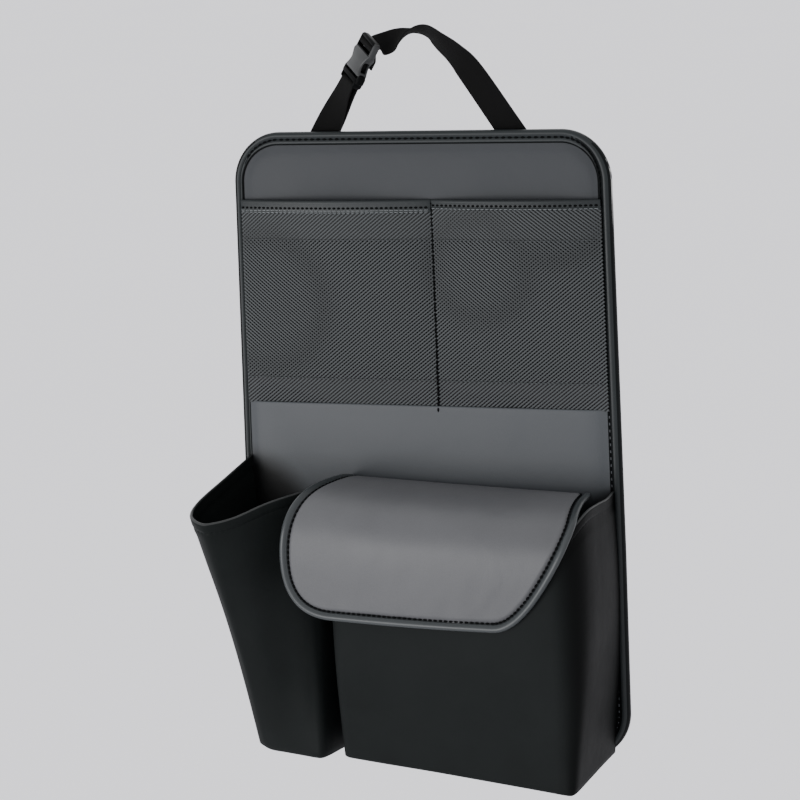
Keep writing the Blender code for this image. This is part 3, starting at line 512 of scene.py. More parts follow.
# The strip above the net takes the shaded leather as painted shade; below it, the cover behind the net takes
# a nearly black finish, also painted shade.
for face in front_cover.data.polygons:
    face.material_index = int(face.center.z < MESH_TOP - 0.004)
dress(front_cover, (shaded_leather, painted_shade_behind_net), "grey_leather", "front_cover")

# %% Lower cover
OVERLAY_INSET, OVERLAY_BACK, OVERLAY_SWELL = 0.0055, 0.0056, 0.0022
FOLD, FLAT_SHARE = 0.0012, 0.94


def lower_cover_shape(u, v):
    low = -HALF_HEIGHT + OVERLAY_INSET
    if v <= FLAT_SHARE:
        z, turn = mix(low, OVERLAY_TOP - FOLD, v / FLAT_SHARE), 0.0
    else:
        z, turn = OVERLAY_TOP - FOLD, math.pi * (v - FLAT_SHARE) / (1 - FLAT_SHARE)
    x = mix(-1, 1, u) * reach(z, OVERLAY_INSET)
    front = OVERLAY_BACK + swell(x, z, OVERLAY_FRONT + OVERLAY_SWELL - OVERLAY_BACK, 0.006)
    y = -(front - FOLD) - FOLD * math.cos(turn)
    return widen(Vector((x, y, z + FOLD * math.sin(turn))))


lower_cover = sheet("lower_leather", 90, 130, lower_cover_shape)
face_towards(lower_cover, FRONT)
smooth(lower_cover, 80)
dress(lower_cover, grey_leather, "grey_leather", "lower_cover")

# %% [markdown]
# ## The edge binding
# A tape is folded over the raw edge and sewn through. It makes a round bead at the rim. Along the top
# and down the right it has a flat stitched strip beside the bead, and each stitch pulls the tape in,
# so the strip puckers between the stitches. A groove lies where the tape ends; it is painted nearly black
# as its shadow, and the tape's upright sides are painted in shade.

# %% Rolled binding with puckers
PITCH = 0.0063


def by_side(outward, left, right, top, foot):
    """A size that changes round the panel: its value on each side, blended round the corners."""
    upright, level = left if outward.x < 0 else right, top if outward.z > 0 else foot
    return outward.x ** 2 * upright + outward.z ** 2 * level


def binding_width(outward):
    return by_side(outward, 0.0082, 0.0112, 0.0108, 0.0085)


def binding_seam(outward):
    return by_side(outward, 0.0071, 0.0098, 0.0069, 0.0072)


def binding_ring(point, outward, travelled):
    width, seam = binding_width(outward), binding_seam(outward)
    broad = by_side(outward, 1.12, 1.56, 1.0, 1.1)
    full = by_side(outward, 0.0, 0.0006, 0.0, 0.0)
    pucker = 0.5 + 0.5 * math.cos(2 * math.pi * travelled / PITCH)
    sewn = clamp((width - 0.0086) / 0.001)
    behind = [(width * 0.95, 0.0004), (width * 0.9, 0.0014), (0.0030, 0.0015), (0.0009, 0.0009)]
    bead = [(0.0001, -0.0006), (0.0, -0.0028), (0.0004, -0.0050), (0.0014 * broad, -0.0065),
            (0.0028 * broad, -0.0071 - full), (0.0043 * broad, -0.0069 - full),
            (0.0055 * broad, -0.0063 - full * 0.6 + 0.0002 * pucker * sewn)]
    strip = [(seam - 0.0007, -0.0060 + 0.0003 * pucker * sewn), (seam, -0.0060 + 0.0008 * sewn),
             (seam + 0.0008, -0.0061 - 0.0002 * (1 - pucker) * sewn), (width - 0.0008, -0.0064),
             (width, -0.0061)]
    groove = [(width + 0.0001, -0.0057), (width + 0.0011, -0.0057), (width + 0.0012, -0.0040)]
    return [widen(point - outward * across + Vector((0, deep, 0)))
            for across, deep in behind + bead + strip + groove]


# The strips of faces in second lie in the groove and take its painted shadow.
binding = band("edge_binding_roll", [binding_ring(*place) for place in walk], closed=True, second=(16, 17))
smooth(binding, 60)
# Faces that look sideways take the darker tape: painted shade on the binding's upright sides.
for face in binding.data.polygons:
    if (face.normal.x > 0.5 or face.normal.x < -0.2) and not face.material_index:
        face.material_index = 2
dress(binding, (tape, groove_shadow, shaded_side_tape), "binding", "edge_binding")

# %% [markdown]
# ## Stitches
# One stitch is a short thread that dips into the leather at both ends. It is modelled once, from a
# small sphere that is squeezed and flattened, and copied along each seam.

# %% One stitch, copied along a seam
def stitch_model():
    deselect()
    bpy.ops.mesh.primitive_uv_sphere_add(segments=8, ring_count=6, radius=1)
    model = bpy.context.object
    bpy.ops.object.mode_set(mode="EDIT")
    bpy.ops.mesh.select_all(action="SELECT")
    bpy.ops.transform.rotate(value=math.pi / 2, orient_axis="Y", center_override=(0, 0, 0))
    bpy.ops.object.mode_set(mode="OBJECT")
    vertices = [v.co.copy() for v in model.data.vertices]
    faces = [tuple(p.vertices) for p in model.data.polygons]
    bpy.data.objects.remove(model)
    return vertices, faces


one_stitch, stitch_faces = stitch_model()


def sew(name, places, material, slot, length=0.0042, width=0.0009, height=0.0006):
    """Copy the stitch to each place: (point, direction along the seam, normal)."""
    vertices, faces = [], []
    for point, along, normal in places:
        across = normal.cross(along).normalized()
        start = len(vertices)
        for co in one_stitch:
            sink = 0.6 * height * co.x * co.x
            vertices.append(point + along * (co.x * length / 2) + across * (co.y * width / 2)
                            + normal * (co.z * height / 2 - sink))
        faces += [[start + i for i in face] for face in stitch_faces]
    piece = piece_from(name, vertices, faces)
    piece.data.shade_smooth()
    return dress(piece, material, slot)


# %% Stitches beside the panel's binding
places = []
for i in range(round(edge_length / PITCH)):
    point, outward, _ = walk[round((i + 0.5) * PITCH / edge_length * len(walk)) % len(walk)]
    if binding_width(outward) > 0.0092:
        at = widen(point - outward * binding_seam(outward) + Vector((0, -0.0061, 0)))
        places.append((at, outward.cross(FRONT).normalized(), FRONT))
sew("binding_stitches", places, black_thread, "binding", length=0.0042, width=0.0025, height=0.0010)

# %% [markdown]
# ## The net's two sets of strands
# A knitted net shines along one set of strands where the light grazes it, and along the other set
# elsewhere. So each set has its own material, which changes tone inside a few round zones.

# %% Strand materials
SHINE_ZONES = (((-0.155, 0, 0.132), 0.062), ((0.060, 0, 0.165), 0.048), ((0.125, 0, 0.232), 0.062))
SHINE_EDGE = 0.022


def shine_share(x, z):
    """0 inside a zone and 1 outside all of them."""
    return min(ease((math.hypot(x - centre[0], z - centre[2]) - radius + SHINE_EDGE) / (2 * SHINE_EDGE))
               for centre, radius in SHINE_ZONES)


def strand(name, inside_zones, outside):
    material, tree, shader = start_material(name, outside, 0.55, 0.2)
    at = coordinates(tree)
    share = None
    for centre, radius in SHINE_ZONES:
        zone = round_zone(tree, at, centre, radius - SHINE_EDGE, radius + SHINE_EDGE)
        if share is None:
            share = zone
            continue
        lowest = node(tree, "ShaderNodeMath", operation="MINIMUM")
        tree.links.new(share, lowest.inputs[0])
        tree.links.new(zone, lowest.inputs[1])
        share = lowest.outputs["Value"]
    tree.links.new(ramp(tree, share, 0.0, 1.0, inside_zones, outside), shader.inputs["Base Color"])
    fibre = pattern(tree, at, "Noise", Scale=1400.0, Detail=1.0)
    bump(tree, shader, fibre.outputs["Fac"], 0.4, 0.0001)
    return material


rising_strand = strand("rising strand", (0.0035, 0.0038, 0.0040), (0.039, 0.043, 0.045))
falling_strand = strand("falling strand", (0.039, 0.043, 0.045), (0.0045, 0.0050, 0.0055))
# The layer behind is painted much darker than the front strands, as painted shade.
shaded_under_strand = strand("strand of the layer behind, in painted shade", (0.0020, 0.0022, 0.0024), (0.0020, 0.0022, 0.0024))
print("strands", rising_strand.name, falling_strand.name, shaded_under_strand.name, sep=", ")

# %% [markdown]
# ## The two net pockets
# The net is knitted from two crossing sets of fine strands, 4.3 mm apart. Real holes are cheap when
# each strand is only a low ridge of three points across. The net bellies out between the sewn sides,
# and it is doubled in a hem under its trim and at its foot.

# %% Net strands
STRAND_PITCH, STRAND, SLOPE = 0.0043, 0.0014, 0.78
NET_FOOT, NET_SLACK = 0.036, 0.0095
NET_HEM, UNDER_HEM = 0.036, 0.006
NETS = (("left", -0.1777, 0.0127), ("right", 0.0133, 0.1755))


def net_point(x, z, left, right, off=0.0):
    across = clamp((x - left) / (right - left))
    up = clamp((z - NET_FOOT) / (MESH_TOP - NET_FOOT))
    belly = NET_SLACK * math.sin(math.pi * across) ** 0.8 * math.sin(math.pi / 2 * up)
    ripple = 0.0007 * noise.noise(Vector((x * 16, left * 7, z * 11))) * math.sin(math.pi * across)
    return widen(Vector((x, -(COVER_FRONT + 0.0012 + 0.0012 * up + belly + ripple + off), z)))


def net(name, left, right, replaced):
    bands = ((NET_FOOT, MESH_TOP - UNDER_HEM, 0.0, 0.0), (NET_FOOT, NET_FOOT + 0.024, 0.0019, -0.0007),
             (MESH_TOP - NET_HEM, MESH_TOP - UNDER_HEM, 0.0019, -0.0007))
    vertices, faces, kinds = [], [], []
    for low, high, shift, off in bands:
        for lean in (1, -1):
            side = Vector((lean * SLOPE, 0, -1)).normalized() * STRAND / 2
            first = left - (high - low) / SLOPE if lean > 0 else left
            last = right if lean > 0 else right + (high - low) / SLOPE
            for i in range(int((last - first) / STRAND_PITCH) + 1):
                foot = first + i * STRAND_PITCH + shift
                z0, z1 = sorted((low + (left - foot) * lean * SLOPE, low + (right - foot) * lean * SLOPE))
                z0, z1 = max(z0, low), min(z1, high)
                if z1 - z0 < 0.001:
                    continue
                steps = max(1, round((z1 - z0) / 0.005))
                start = len(vertices)
                for s in range(steps + 1):
                    z = mix(z0, z1, s / steps)
                    x = foot + lean * (z - low) / SLOPE
                    lift = off + lean * 0.0002 * (2 * shine_share(x, z) - 1)
                    vertices += [net_point(x - side.x, z - side.z, left, right, lift),
                                 net_point(x, z, left, right, lift + 0.0004),
                                 net_point(x + side.x, z + side.z, left, right, lift)]
                for s in range(steps):
                    a = start + 3 * s
                    faces += [(a, a + 1, a + 4, a + 3), (a + 1, a + 2, a + 5, a + 4)]
                    kinds += [2 if off else (0 if lean > 0 else 1)] * 2
    piece = piece_from(name, vertices, faces)
    face_towards(piece, FRONT)
    piece.data.shade_smooth()
    piece.data.polygons.foreach_set("material_index", kinds)
    dress(piece, (rising_strand, falling_strand, shaded_under_strand), "mesh", replaced)


for side, left, right in NETS:
    net("net_" + side, left, right, "mesh_pocket_" + side)

# %% [markdown]
# ## The net's trims and the seam between the two pockets
# A narrow tape is folded over the mouth of each net and sewn through. A row of pale stitches runs along its
# lower edge, their pale colour a painted highlight of the folded edge, and a dark, uneven seam holds
# both nets to the panel in the middle.

# %% Trims and their stitches
TRIM_PITCH, TRIM_STEP, HEM_STEP = 0.0046, 0.00115, 0.0034


def net_along(x, z, left, right):
    """The direction along a net at one of its points."""
    return (net_point(x + 0.002, z, left, right) - net_point(x - 0.002, z, left, right)).normalized()


def trim(name, left, right, width, edge_rows, replaced):
    def ring(x):
        base = net_point(x, MESH_TOP, left, right)
        pucker = 0.5 + 0.5 * math.cos(2 * math.pi * x / TRIM_PITCH)
        profile = [(-width * 0.5, 0.0008), (-0.0010, 0.0008), (0.0, 0.0001), (-0.0001, -0.0008),
                   (-0.0012, -0.0015), (-0.0028, -0.0013), (-width * 0.45, -0.0009), (-width * 0.56, -0.0009),
                   (-width * 0.63, -0.0006 - 0.0004 * pucker), (-width * 0.70, -0.0010),
                   (-width * 0.78, -0.0006), (-width * 0.87, -0.0011), (-width * 0.97, -0.0009),
                   (-width, -0.0003), (-width * 0.97, 0.0006)]
        return [base + Vector((0, deep, up)) for up, deep in profile]

    count = round((right - left) / TRIM_STEP)
    piece = band(name, [ring(mix(left, right, i / count)) for i in range(count + 1)])
    smooth(piece, 60)
    dress(piece, tape, "binding", replaced)
    seam, edge = [], []
    for i in range(int((right - left) / TRIM_PITCH)):
        x = left + (i + 0.5) * TRIM_PITCH
        along = net_along(x, MESH_TOP, left, right)
        base = net_point(x, MESH_TOP, left, right)
        seam.append((base + Vector((0, -0.0013, -width * 0.60)), along, FRONT))
        for share in edge_rows:
            edge.append((base + Vector((0, -0.0010, -width * share)), along, FRONT))
    sew(name + "_stitches", seam, black_thread, "binding", length=0.0034, width=0.0020, height=0.0010)
    # The pale thread is a painted highlight on the trim's folded lower edge.
    sew(name + "_edge_stitches", edge, highlight_thread, "binding", length=0.0044, width=0.0005, height=0.0005)


for (side, left, right), width, edge_rows in zip(NETS, (0.0118, 0.0088), ((0.80, 0.95), (0.93,))):
    trim("net_trim_" + side, left, right, width, edge_rows, "mesh_trim_" + side)

# %% Stitches of the nets' hems and the middle seam
for side, left, right in NETS:
    places = []
    for z in (NET_FOOT + 0.0243, MESH_TOP - 0.0362):
        for i in range(int((right - left) / HEM_STEP) - 1):
            x = left + (i + 0.8) * HEM_STEP
            places.append((net_point(x, z, left, right, 0.0012), net_along(x, z, left, right), FRONT))
    sew("net_hem_stitches_" + side, places, net_hem_thread, "mesh", length=0.0036, width=0.0008,
        height=0.0006)

places = []
for i in range(40):
    z = mix(0.0335, 0.222, i / 39)
    sway = 0.0005 * noise.noise(Vector((3.3, 0, z * 90)))
    x = mix(0.0122, 0.0132, i / 39) + sway
    depth = 0.0088 if z > 0.213 else (0.0082 if z > 0.038 else 0.0092)
    lean = Vector((0.15 * noise.noise(Vector((8.1, 2, z * 130))), 0, 1)).normalized()
    places.append((widen(Vector((x, -depth, z))), lean, FRONT))
sew("net_seam_stitches", places, black_thread, "mesh", length=0.0046, width=0.0019, height=0.0014)

# %% [markdown]
# ## The two lower pockets
# Both pockets are one strip of leather that is sewn to the panel along its two upright ends and to a
# foot below. The strip's mouth line and foot line come from the pattern. Its upper edge is folded
# inwards and sewn, which makes a flat hem with a round lip and a stitched groove.

# %% A pocket wall from its mouth line to its foot line
HEM, LIP = 0.0086, 0.00065


def pocket(name, mouth, foot, columns, bow, left_bow, right_bow, hem_pitch, rows=52):
    """A wall and the places of its hem's stitches. The mouth and foot are in millimetres, and the bows
    say how far the wall stands out in its middle, to the left and to the right."""
    mouth = [Vector(p) * MM for p in mouth]
    foot = [Vector(p) * MM for p in foot]
    last = len(mouth) - 1

    def frame_at(u):
        high, low = through(mouth, u), through(foot, u)
        tangent = through(mouth, min(u + 0.004, 1)) - through(mouth, max(u - 0.004, 0))
        low_tangent = through(foot, min(u + 0.004, 1)) - through(foot, max(u - 0.004, 0))
        down = low - high
        normal = down.cross(tangent).normalized()
        low_normal = down.cross(low_tangent).normalized()
        return high, low, normal, low_normal

    middle = frame_at(0.5)
    facing = 1 if middle[2].y < 0 else -1
    travelled, path = 0.0, []
    for i in range(columns + 1):
        high = through(mouth, i / columns)
        travelled += (high - path[-1][0]).length if path else 0.0
        path.append((high, travelled))
    inner = [(HEM + 0.001, -2 * LIP), (HEM * 0.5, -2 * LIP), (LIP * 1.5, -2 * LIP)]
    lip = [(LIP - LIP * math.sin(math.pi * t / 4), -LIP - LIP * math.cos(math.pi * t / 4)) for t in range(5)]
    outer = [(LIP + d, 0.0) for d in (0.0012, 0.003, 0.005, 0.0066, 0.0074, 0.0082, 0.009, 0.0102, 0.013)]
    turn_in = 4
    count = len(inner) + len(lip) + len(outer)

    def shape(u, v):
        row = round(v * (count + rows + turn_in - 1))
        column = round(u * columns)
        high, low, normal, low_normal = frame_at(u)
        down = low - high
        length = down.length
        pucker = 0.5 + 0.5 * math.cos(2 * math.pi * path[column][1] / hem_pitch)
        held = math.sin(math.pi * clamp(u)) ** 0.5
        if row < count:
            depth, off = (inner + lip + outer)[row]
            groove = math.exp(-((depth - HEM) / 0.0011) ** 2) if off == 0 else 0.0
            rise = 0.0007 * ease((HEM + 0.001 - depth) / 0.002) if off == 0 else 0.0
            off = off * held + (rise - groove * (0.0009 - 0.0005 * pucker)) * held
            return widen(high + down * (depth / length) + normal * facing * off)
        share = (row - count + 1) / rows
        if share <= 1:
            first = (LIP + 0.013) / length
            place = mix(first, 1.0, share)
            belly = bow * math.sin(math.pi * place) * math.sin(math.pi * clamp(u))
            crease = 0.0009 * noise.noise(Vector((u * 9, place * 2.2, last)))
            crease = crease * math.sin(math.pi * place) * held
            direction = normal.lerp(low_normal, place).normalized() * facing
            sideways = left_bow * ease(1.6 - 3 * u) + right_bow * ease(2 * u - 1)
            aside = Vector((sideways * math.sin(math.pi * place), 0, 0))
            return widen(high.lerp(low, place) + direction * (belly + crease) + aside)
        under = (row - count - rows + 1) / turn_in
        inward = -low_normal * facing
        inward.z = 0
        angle = math.pi / 2 * under
        return widen(low + inward * (0.0035 * (1 - math.cos(angle)) + 0.002 * under)
                     + Vector((0, 0, -0.0022 * math.sin(angle))))

    piece = sheet(name, columns, count + rows + turn_in - 1, shape)
    face_towards(piece, FRONT)
    # The faces round the lip take the lighter leather, a painted highlight.
    for face in piece.data.polygons:
        row = face.index // columns
        face.material_index = int(len(inner) <= row < len(inner) + len(lip) - 1)
    modify(piece, "SOLIDIFY", thickness=0.0007, offset=-1.0)
    smooth(piece, 60)
    seam = []
    for i in range(int(path[-1][1] / hem_pitch) - 1):
        goal = (i + 1.0) * hem_pitch
        column = min(range(len(path)), key=lambda c: abs(path[c][1] - goal))
        u = column / columns
        high, low, normal, _ = frame_at(u)
        down = (low - high).normalized()
        at = widen(high + down * (HEM + 0.0001) + normal * facing * (-0.0003))
        along = (through(mouth, min(u + 0.01, 1)) - through(mouth, max(u - 0.01, 0))).normalized()
        seam.append((at, along, normal * facing))
    return piece, seam


# %% The cup pocket
cup_wall, cup_seam = pocket(
    "cup_pocket",
    ((-177, -4.5, -14), (-184, -50, -28), (-189, -98, -41), (-184, -125, -48), (-170, -138, -52),
     (-158, -138, -52), (-140, -126, -48), (-120, -101, -39.5), (-101, -79, -34.3), (-92, -66, -32.7),
     (-84, -54, -32), (-77, -33, -34.5), (-68.5, -6, -40)),
    ((-172.5, -4.5, -279.5), (-166, -28, -278.5), (-160, -50, -277), (-156.5, -61, -276.5),
     (-151, -65.5, -277.5), (-143, -68, -279.5), (-125, -73, -279.5), (-106, -78, -279.5),
     (-93, -81.5, -279.5), (-86, -80.5, -279.5), (-82.3, -70, -279.5), (-79, -42, -279.5),
     (-72.5, -6, -279.5)),
    220, 0.0, 0.0048, 0.0, 0.0052)
dress(cup_wall, (black_leather, lip_highlight_leather), "black_leather", "cup_pocket_wall", "cup_pocket_mouth_band")

# %% The main pocket
main_wall, main_seam = pocket(
    "main_pocket",
    ((-62, -6, -38), (-62, -40, -49), (-62, -70, -59), (-62, -92, -67), (-59, -102, -70.5),
     (-52, -107, -71.5), (-38, -109.5, -72), (-10, -111, -72), (35, -113.7, -72), (80, -116.5, -72),
     (118, -118.8, -72),
     (142, -119, -70.5), (158, -116.8, -64.5), (168.5, -110, -53.5), (175.5, -98, -43), (178.5, -82, -37.5),
     (179.2, -58, -37), (178.8, -32, -38), (176.5, -5.5, -36.5)),
    ((-62, -6, -278.5), (-64, -30, -278.2), (-65, -52, -277.8), (-65.5, -70, -277.3), (-64.3, -77.5, -277),
     (-60, -81, -277), (-50, -82.5, -277.5), (-22, -86.3, -278.7), (30, -93.2, -280.7),
     (80, -99.3, -283.3), (122, -103.7, -285.8), (143, -106.3, -287), (154, -107.5, -287.7),
     (161, -107.3, -288), (164.8, -103.5, -287.7), (166, -90, -286.5),
     (167, -65, -284), (168.3, -36, -281), (169.5, -5.5, -278.5)),
    320, 0.004, 0.0, 0.0055, 0.0052)
dress(main_wall, (black_leather, lip_highlight_leather), "black_leather", "main_pocket_wall", "main_pocket_mouth_band")

# %% The stitches of both hems
for name, seam in (("cup_hem_stitches", cup_seam), ("main_hem_stitches", main_seam)):
    sew(name, seam, pocket_hem_thread, "black_leather", length=0.0040, width=0.0008, height=0.0006)

# %% [markdown]
# ## The flap
# The flap is sewn to the panel along a slanting seam. It rises a little, rolls over the pocket's
# mouth and hangs down in front with two rounded corners. Its lower edge sags a few millimetres in the
# middle. The curve down each side is given by nine points, and the corners draw in towards the hem.

# %% The flap's surface
FLAP_HEM_Z = -0.139


def flap_side(depth, seam_x, seam_z, roof, flare, power, hem):
    reach_out, fall = depth - SEWN, FLAP_HEM_Z - seam_z
    shares = ((0, 0, 0, 0), (0.21, 0.80, 0, 0.30), (0.48, 1, 0, 0.50), (0.72, 0.80, 0.02, 0.75),
              (0.89, 0.30, 0.09, 0.88), (0.98, 0, 0.23, 0.96), (1, 0, 0.43, 1), ((2 + hem) / 3, 0, 0.68, 1),
              (hem, 0, 1, 1))
    return [Vector((seam_x + spread ** power * flare, -SEWN - out * reach_out,
                    seam_z + rise * roof + drop * fall)) for out, rise, drop, spread in shares]


flap_left = flap_side(0.116, -0.077, -0.0325, 0.0065, -0.026, 2.8, 0.955)
flap_right = flap_side(0.125, 0.1515, -0.0425, 0.0090, 0.0245, 0.6, 0.985)


def softly(points, share):
    """The curve through the points, averaged over a short stretch so that it has no ripples."""
    reach_out = min(0.10, share, 1 - share)
    weighted = (through(points, share + reach_out * k / 3) * (4 - abs(k)) for k in range(-3, 4))
    return sum(weighted, Vector()) / 16


def flap_surface(across, down):
    """A point of the whole, uncut flap: from its left side to its right, and from seam to hem."""
    point = softly(flap_left, down).lerp(softly(flap_right, down), across)
    hollow = math.sin(math.pi * clamp(across))
    sag = 0.003 * hollow * ease(down * 1.1) + 0.0018 * hollow * math.exp(-((down - 0.25) / 0.16) ** 2)
    return point + Vector((0, 0, -sag))


def flap_point(u, v):
    """A point of the cut flap, whose two lower corners are rounded."""
    down = min(2 * v, 1.0)
    turn = max(2 * v - 1, 0) * math.pi / 2
    left_down, right_down = down * 0.75 + 0.25 * math.sin(turn), down * 0.45 + 0.55 * math.sin(turn)
    left_in = 0.163 * (1 - math.cos(turn)) ** 1.6
    right_in = 0.275 * (1 - math.cos(turn)) ** 0.82
    return flap_surface(mix(left_in, 1 - right_in, u), mix(left_down, right_down, u))


def flap_normal(u, v):
    h = 0.004
    across = flap_point(min(u + h, 1), v) - flap_point(max(u - h, 0), v)
    down = flap_point(u, min(v + h, 0.999)) - flap_point(u, max(v - h, 0))
    if across.length < 1e-7:
        across = Vector((1, 0, 0))
    normal = down.cross(across).normalized()
    return normal if normal.dot(Vector((0, -1, 1))) > 0 else -normal


# %% The flap's leather
ROLL, PAD_BEGINS, PAD_WIDTH = 0.0066, 0.0072, 0.0032
edge_uv = [(0.0, i / 260) for i in range(260)] + [(i / 200, 1.0) for i in range(201)]
edge_uv += [(1.0, 1 - i / 260) for i in range(1, 261)]
edge_points = [flap_point(*uv) for uv in edge_uv]
flap_rim = kdtree.KDTree(len(edge_points))
for i, point in enumerate(edge_points):
    flap_rim.insert(point, i)
flap_rim.balance()


def flap_shape(u, v):
    """The flap's face: low beside the binding, then swelling up. Its columns are closest near the sides."""
    u -= 0.62 * math.sin(2 * math.pi * u) / (2 * math.pi)
    padded = ease((flap_rim.find(flap_point(u, v))[2] - PAD_BEGINS) / PAD_WIDTH)
    life = 0.0006 * noise.noise(Vector((u * 4, v * 4, 5.5)))
    life += 0.00025 * noise.noise(Vector((u * 14, v * 9, 1.5)))
    return flap_point(u, v) + flap_normal(u, v) * (-0.0003 + 0.0020 * padded + life * ease(v * 4))


flap = sheet("flap", 110, 100, flap_shape)
face_towards(flap, FRONT)
modify(flap, "SOLIDIFY", thickness=0.0016, offset=-1.0, material_offset=1, material_offset_rim=1)
smooth(flap, 60)
dress(flap, (flap_leather, lining_cloth), "flap_leather", "flap_cover", "flap_lining")

# %% [markdown]
# The flap's free edge is bound with a rolled tape. A row of dark stitches runs in the groove beside
# it, on the face of the flap.

# %% The flap's rolled binding and stitches
edge_path, edge_total = [], 0.0
for i, point in enumerate(edge_points):
    edge_total += (point - edge_points[i - 1]).length if i else 0.0
    edge_path.append(edge_total)


def flap_edge(distance):
    """Place on the flap's edge: its point, the direction along it, outwards and up from its face."""
    low, high = 0, len(edge_path) - 1
    while high - low > 1:
        middle = (low + high) // 2
        if edge_path[middle] <= distance:
            low = middle
        else:
            high = middle
    span = edge_path[high] - edge_path[low]
    share = clamp((distance - edge_path[low]) / span) if span else 0.0
    point = edge_points[low].lerp(edge_points[high], share)
    before, after = edge_points[max(low - 4, 0)], edge_points[min(high + 4, len(edge_points) - 1)]
    u = mix(edge_uv[low][0], edge_uv[high][0], share)
    v = mix(edge_uv[low][1], edge_uv[high][1], share)
    normal = flap_normal(clamp(u, 0.01, 0.99), clamp(v, 0.0, 0.985))
    along = (after - before).normalized()
    outward = normal.cross(along).normalized()
    return point, along, -outward, normal


FLAP_PITCH = 0.0050
stations = []
count = round(edge_total / 0.00125)
for i in range(count + 1):
    distance = edge_total * i / count
    point, along, outward, normal = flap_edge(distance)
    pucker = 0.5 + 0.5 * math.cos(2 * math.pi * distance / FLAP_PITCH)
    profile = [(-ROLL, -0.0012), (-ROLL * 0.5, -0.0021), (-0.0010, -0.0020), (0.0006, -0.0011),
               (0.0010, 0.0002), (0.0008, 0.0014), (0.0001, 0.0023), (-0.0012, 0.0028), (-0.0026, 0.0027),
               (-0.0040, 0.0021),
               (-ROLL * 0.72, 0.0012 - 0.0003 * pucker), (-ROLL * 0.86, 0.0006 - 0.0002 * pucker),
               (-ROLL, 0.0), (-ROLL - 0.0022, 0.0001), (-ROLL - 0.0022, -0.0008)]
    stations.append([point + outward * across + normal * deep for across, deep in profile])
# The strips in second lie in the groove beside the roll and take the darker flap tape, as painted shade.
flap_roll = band("flap_roll", stations, second=(11, 12, 13))
smooth(flap_roll, 60)
dress(flap_roll, (flap_tape, flap_groove_shade), "binding", "flap_binding")
places = []
for i in range(2, int(edge_total / FLAP_PITCH) - 1):
    point, along, outward, normal = flap_edge(i * FLAP_PITCH)
    places.append((point - outward * (ROLL * 1.12) + normal * 0.0012, along, normal))
sew("flap_stitches", places, black_thread, "binding", length=0.0042, width=0.0019, height=0.0012)

# %% [markdown]
# ## The straps
# Both straps are 25 mm webbing. The short one runs from the panel's back up to the plug, round its
# bar and back down, so it is double. The long one starts behind the socket, turns round the socket's
# bar, twists over the arch and is sewn to the panel's back on the right. The grid's UV map follows
# each ribbon, so the weave follows every twist.

# %% Where the buckle sits
LEAN, TURN = math.radians(59), math.radians(40)
WIDTH_OF_WEBBING, THICK = 0.0250, 0.0014
LEFT_X, RIGHT_X, TOP = -0.09198, 0.08699, 0.287
STRAP_BACK = 0.0037
BODY, FRAME, BAR_RADIUS = 0.0095, 0.0062, 0.00275
SOCKET_BAR, PLUG_BASE, RISE = 0.0290, 0.0105, 0.0500

axis = Vector((math.cos(LEAN), 0, math.sin(LEAN)))
flat_across = Vector((math.sin(LEAN), 0, -math.cos(LEAN)))
buckle_across = math.cos(TURN) * flat_across - math.sin(TURN) * REAR
buckle_behind = axis.cross(buckle_across)
buckle_place = Vector((LEFT_X, STRAP_BACK, TOP)) + axis * (RISE + PLUG_BASE)
buckle = Matrix.Translation(buckle_place) @ Matrix((buckle_across, buckle_behind, axis)).transposed().to_4x4()


# %% Ribbons of webbing
def ribbon(name, points, widths, pattern_length):
    stations = []
    for i, (point, width) in enumerate(zip(points, widths)):
        along = (points[min(i + 1, len(points) - 1)] - points[max(i - 1, 0)]).normalized()
        stations.append((point, (width - along * width.dot(along)).normalized()))
    last = len(points) - 1

    def shape(u, v):
        point, across = stations[round(v * last)]
        return point + across * ((u - 0.5) * WIDTH_OF_WEBBING)

    piece = sheet(name, 8, last, shape)
    for loop in piece.data.uv_layers.active.data:
        loop.uv.y *= pattern_length
    modify(piece, "SOLIDIFY", thickness=THICK, offset=0.0)
    smooth(piece, 50)
    return piece


# %% The short strap, double from the panel to the plug's bar
path = []
bar_rise = RISE + 0.0012
layer = 0.0009
for i in range(45):
    rise = mix(-0.022, bar_rise, i / 44)
    path.append((rise, -mix(layer, BAR_RADIUS, ease(rise / bar_rise))))
turn = [(bar_rise + BAR_RADIUS * math.sin(math.pi * i / 14), -BAR_RADIUS * math.cos(math.pi * i / 14))
        for i in range(1, 14)]
path += turn + [(rise, -out) for rise, out in reversed(path)]
points, widths = [], []
for rise, out in path:
    angle = TURN * ease(rise / RISE)
    across = math.cos(angle) * flat_across - math.sin(angle) * REAR
    points.append(Vector((LEFT_X, STRAP_BACK, TOP)) + axis * rise + axis.cross(across) * out)
    widths.append(across)
short_strap = ribbon("short_strap", points, widths, 0.35)
dress(short_strap, webbing, "webbing", "strap_short")

